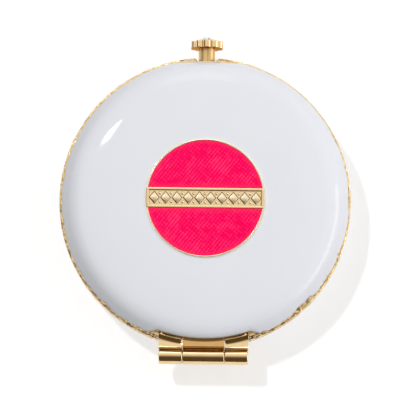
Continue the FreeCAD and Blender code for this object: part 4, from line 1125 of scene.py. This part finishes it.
def head_shell():
    """The lobed head with its cup for the stone, and its brown painted shade: between the lobes and on its
    back.
    """
    angles = np.linspace(0, TAU, 40 * LOBE_COUNT, endpoint=False)
    edge = [(LOBE_ROUND * (1 - sin(a)), LOBE_ROUND * (1 - cos(a))) for a in np.linspace(0, pi / 2, 6)]
    edge.append((0.0, LOBE_ROUND + LOBE_FLANK))
    reaches = np.array([lobe_reach(a, 0) for a in angles])
    # Painted shade, deepest in the valleys between the lobes
    valley = HEAD_VALLEY_SHADE * np.maximum(1 - (reaches - LOBE_CENTRE) / LOBE_RADIUS, 0) ** 4
    rows = [[polar(CUP_CAP, a, 0.0) for a in angles]]
    # The back is in painted shade, which fades up its rounded edge
    painted_shade = [np.full(len(angles), HEAD_BACK_SHADE)]
    for inset, height in edge + [(inset, HEAD_DEPTH - height) for inset, height in edge[::-1]]:
        rows.append([polar(lobe_reach(a, inset), a, height) for a in angles])
        painted_shade.append(np.maximum(valley, HEAD_BACK_SHADE - height / LOBE_ROUND))
    for radius, height in ((CUP_RADIUS + CUP_CHAMFER, HEAD_DEPTH), (CUP_RADIUS, HEAD_DEPTH - CUP_CHAMFER),
                           (CUP_RADIUS, CUP_FLOOR), (CUP_CAP, CUP_FLOOR)):
        rows.append([polar(radius, a, height) for a in angles])
        painted_shade.append(np.zeros(len(angles)))
    return capped(grid_shell(rows), len(angles)), np.concatenate(painted_shade)


def stone_shell():
    """A cut stone: table, facets, girdle and a flat foot."""
    def ring(count, radius, height, turn=0.0):
        return [polar(radius, TAU * k / count + turn, height) for k in range(count)]

    sides, double = STONE_SIDES, 2 * STONE_SIDES
    points = ring(sides, STONE_TABLE, STONE_SINK + STONE_RISE)
    points += ring(sides, STONE_MIDDLE, STONE_SINK + STONE_MIDDLE_SHARE * STONE_RISE, pi / sides)
    points += ring(double, STONE_RADIUS, STONE_SINK)
    points += ring(double, STONE_RADIUS, STONE_SINK - STONE_GIRDLE) + ring(double, STONE_FOOT, SEAT_GAP)
    m, g, b, f = sides, double, 2 * double, 3 * double
    faces = [tuple(range(sides)), tuple(range(f, f + double))]
    for k in range(sides):
        n = (k + 1) % sides
        first, second, third = g + 2 * k, g + 2 * k + 1, g + (2 * k + 2) % double
        faces += [(k, n, m + k), (k, m + k, first), (m + k, second, first), (m + k, third, second),
                  (n, third, m + k)]
    for k in range(double):
        n = (k + 1) % double
        faces += [(g + k, g + n, b + n, b + k), (b + k, b + n, f + n, f + k)]
    return np.array(points), faces


def coil_shell():
    """The return spring's wire."""
    rings, around = SPRING_TURNS * 40, 12
    wire = SPRING_WIRE / 2
    low, high = SPRING_LOW + wire, SPRING_HIGH - wire
    rows = []
    for step in range(rings + 1):
        share = step / rings
        angle = TAU * SPRING_TURNS * share
        middle = low + (high - low) * share
        rows.append([polar(SPRING_RADIUS + wire * cos(a), angle, middle + wire * sin(a))
                     for a in np.arange(around) * TAU / around])
    return capped(grid_shell(rows), around)


def make_button():
    outline = [(ROD_CAP, SHAFT_NEAR), (SHAFT_RADIUS, SHAFT_NEAR), (SHAFT_RADIUS, STEM_NEAR),
               (STEM_RADIUS, STEM_NEAR), (STEM_RADIUS, STEM_FAR), (ROD_CAP, STEM_FAR)]
    stem = disc_of(softened(outline, STEM_SOFT), 72)
    make_piece("button_stem_and_shaft", stem, ON_BUTTON, BUTTON, "button_stem", STREAKED)
    on_head = ON_BUTTON @ Matrix.Translation((0, 0, HEAD_NEAR))
    head, painted_shade = head_shell()
    make_piece("button_lobed_head", head, on_head, BUTTON, "button_setting", BUFFED, sharp=40, painted_shade=painted_shade)
    on_stone = ON_BUTTON @ Matrix.Translation((0, 0, HEAD_NEAR + HEAD_DEPTH - STONE_SINK))
    make_piece("button_cut_stone", stone_shell(), on_stone, BUTTON, "button_crystal", CRYSTAL_PAINTED_REFLECTION, sharp=2)
    coil = make_piece("return_coil", coil_shell(), ON_BUTTON, BASE, "return_spring", STEEL)
    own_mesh(coil)


# Latch
def slotted_head(radius, depth, shank_radius, shank):
    """A screw with a cut across its domed head, its shank below zero."""
    arc = [(radius * sin(a), depth * (0.55 + 0.45 * cos(a))) for a in np.linspace(0.25, pi / 2, 6)]
    profile = arc + [(radius, 0.0), (shank_radius, 0.0), (shank_radius, -shank), (SHANK_CAP, -shank)]
    points, faces = disc_of([(SHANK_CAP, depth)] + profile, 40)
    cut = (np.abs(points[:, 1]) < radius * 0.16) & (points[:, 2] > depth * 0.5)
    points[cut, 2] -= depth * 0.35
    return points, faces


def headed_pair(radius, top, foot, shank, aside, out):
    """Two fasteners with low heads, side by side."""
    outline = [(SHANK_CAP, top + HEAD_DOME), (radius - HEAD_SLOPE, top), (radius, foot), (shank, foot),
               (shank, SHANK_END), (SHANK_CAP, SHANK_END)]
    one = disc_of(softened(outline, HEAD_SOFT), 32)
    return joined(*[moved(one, Matrix.Translation((x, out, 0))) for x in (-aside, aside)])


def make_latch():
    on_hook = ON_BUTTON @ Matrix.Translation((0, 0, HOOK_SCREW_NEAR)) @ Matrix.Rotation(pi, 4, "X")
    keeper = prism(KEEPER_OUTLINE, KEEPER_LOW, KEEPER_HIGH)
    guide = blocks(GUIDE_BLOCKS)
    for piece in (
            ("latch_hook_plate", blocks(HOOK_BLOCKS), IN_LID, BUTTON, "latch_hook", POLISHED, HOOK_BEVEL),
            ("latch_hook_screw", slotted_head(*HOOK_SCREW), on_hook, BUTTON, "latch_screw", POLISHED),
            ("latch_keeper_strip", keeper, IN_LID, LID, "latch_keeper", BRUSHED, PLATE_BEVEL),
            ("keeper_rivet_pair", headed_pair(*RIVET_HEADS), IN_LID, LID, "keeper_rivets", POLISHED),
            ("clasp_guide_bracket", guide, IN_BASE, BASE, "clasp_guide", BRUSHED, PLATE_BEVEL),
            ("guide_screw_pair", headed_pair(*SCREW_HEADS), IN_BASE, BASE, "guide_screws", POLISHED)):
        make_piece(*piece)


make_enamels()
make_pans()
make_mirrors()
make_medallion()
make_hinge()
make_button()
make_latch()

# Stage: floor, cards, world and suns, in metres
MIDDLE = Vector((0, 0, PARTING * MM))
FLOOR_LOW = -0.00002
FLOOR_SIZE = 8
FLOOR_COLOUR = (0.72, 0.715, 0.71)
FLOOR_GLOW = 0.31
BOUNCE_AZIMUTH = 30
BOUNCE_REACH = 0.06
BOUNCE_LOW = 0.31
BOUNCE_HIGH = 0.95
WORLD_LIGHT = 0.395
WARM_WHITE = (1, 0.97, 0.92)
DARK_GOLD = (1, 0.72, 0.36)
CARD_DISTANCE = 1.3


def way_to(azimuth, elevation):
    """The direction at an angle round from +X and one up from the floor."""
    flat = cos(radians(elevation))
    return Vector(polar(flat, radians(azimuth), sin(radians(elevation))))


def quad(name, centre, normal, width, height, up=(0, 0, 1), pointed=False):
    """A flat sheet of the stage, square or standing on a point."""
    places = ((0, -1), (1, 0), (0, 1), (-1, 0)) if pointed else ((-1, -1), (1, -1), (1, 1), (-1, 1))
    normal = Vector(normal).normalized()
    right = Vector(up).cross(normal).normalized()
    above = normal.cross(right)
    corners = [Vector(centre) + sx * width / 2 * right + sy * height / 2 * above for sx, sy in places]
    mesh = bpy.data.meshes.new(name)
    mesh.from_pydata([tuple(c) for c in corners], [], [(0, 1, 2, 3)])
    mesh.attributes.new("rise", "FLOAT", "POINT").data.foreach_set("value", (0, 0, 1, 1))
    obj = added(name, mesh)
    return obj


def stage_nodes(obj, name):
    """A material with nothing but its output, and that output."""
    material = bpy.data.materials.new(name)
    obj.data.materials.append(material)
    nodes = Nodes(material)
    nodes.tree.nodes.clear()
    return nodes, nodes.node("OutputMaterial").inputs["Surface"]


def make_floor():
    """Pale, with a glow for the rays that are shown. Its left throws less light back than its right."""
    floor = quad("floor", (0, 0, FLOOR_LOW), (0, 0, 1), FLOOR_SIZE, FLOOR_SIZE, up=(0, 1, 0))
    nodes, surface = stage_nodes(floor, "floor_white")
    place = nodes.node("TexCoord").outputs["Object"]
    along = nodes.row("VectorMath", {"operation": "DOT_PRODUCT"}, place, way_to(BOUNCE_AZIMUTH, 0))["Value"]
    grade = nodes.spread(along, -BOUNCE_REACH, BOUNCE_REACH, BOUNCE_LOW, BOUNCE_HIGH)
    shown = nodes.shown_ray()
    plain = nodes.node("BsdfDiffuse", Color=nodes.mix(shown, grade, FLOOR_COLOUR))
    glow = nodes.node("Emission", Strength=nodes.math("MULTIPLY", shown, FLOOR_GLOW))
    nodes.feed(surface, nodes.row("AddShader", None, plain.outputs[0], glow.outputs[0])[0])


def card(name, azimuth, elevation, wide, tall, level, fade=0.0, pointed=False, tint=WARM_WHITE):
    """A card that only shows in reflections. Its sizes are angles, and its top can fade to white."""
    centre = way_to(azimuth, elevation) * CARD_DISTANCE
    width, height = (2 * CARD_DISTANCE * tan(radians(angle / 2)) for angle in (wide, tall))
    obj = quad(name, centre, -centre, width, height, pointed=pointed)
    nodes, surface = stage_nodes(obj, name)
    colour = [level * share for share in tint]
    if fade:
        rise = nodes.spread(nodes.attribute("rise"), 1 - fade, 1.0, kind="SMOOTHSTEP")
        colour = nodes.mix(rise, colour, WARM_WHITE)
    nodes.feed(surface, nodes.node("Emission", Color=colour).outputs[0])
    for way in ("camera", "diffuse", "shadow", "transmission", "volume_scatter"):
        setattr(obj, f"visible_{way}", False)


def sun(name, way, energy, angle, shadow=False):
    """A soft sun that stays out of reflections."""
    data = bpy.data.lights.new(name, "SUN")
    data.energy = energy
    data.angle = radians(angle)
    data.use_shadow = shadow
    obj = added(name, data)
    obj.location = way
    obj.rotation_euler = (MIDDLE - way).to_track_quat("-Z", "Y").to_euler()
    obj.visible_glossy = False


make_floor()
card("dark_card_front", 270, 55, 70, 98, 0.1, fade=0.46, tint=DARK_GOLD)
card("dark_card_left", 200, 24, 72, 36, 0.05)
card("bright_card_back", 93, 44, 18, 26, 2.8)
card("bright_card_right", -12, 20, 50, 16, 4.5)
card("streak_card", 133.2, 64.0, 7.0, 3.0, 26.0, pointed=True)
sun("key_sun", Vector((-4.9, 4.9, 10.9)), 0.92, 4.0, shadow=True)
sun("fill_sun", way_to(26, 58), 1.34, 30)
sun("edge_sun", way_to(-38, 4), 0.62, 20)

scene.world = bpy.data.worlds.new("studio")
sky = Nodes(scene.world)
background = sky.tree.nodes["Background"].inputs
sky.feed(background["Color"], PLAIN_WHITE)
sky.feed(background["Strength"], sky.spread(sky.shown_ray(), 0.0, 1.0, WORLD_LIGHT, 1.0))

# Camera. The aim is the place that it looks at, in its own plane, from the case's middle.
TILT = radians(7.2)
ROLL = radians(0.7)
DISTANCE = 1.0
LENS = 387.5
AIM = (0.645, -1.11)

camera_data = bpy.data.cameras.new("camera")
camera_data.sensor_width = 36
camera_data.lens = LENS
camera_data.clip_start = 0.05
camera_data.clip_end = 20
camera = added("camera", camera_data)
turn = Matrix.Rotation(TILT, 3, "X") @ Matrix.Rotation(ROLL, 3, "Z")
aim = MIDDLE + turn @ Vector((AIM[0] * MM, AIM[1] * MM, 0))
camera.matrix_world = Matrix.Translation(aim + turn @ Vector((0, 0, DISTANCE))) @ turn.to_4x4()
scene.camera = camera

scene.view_settings.view_transform = "Standard"
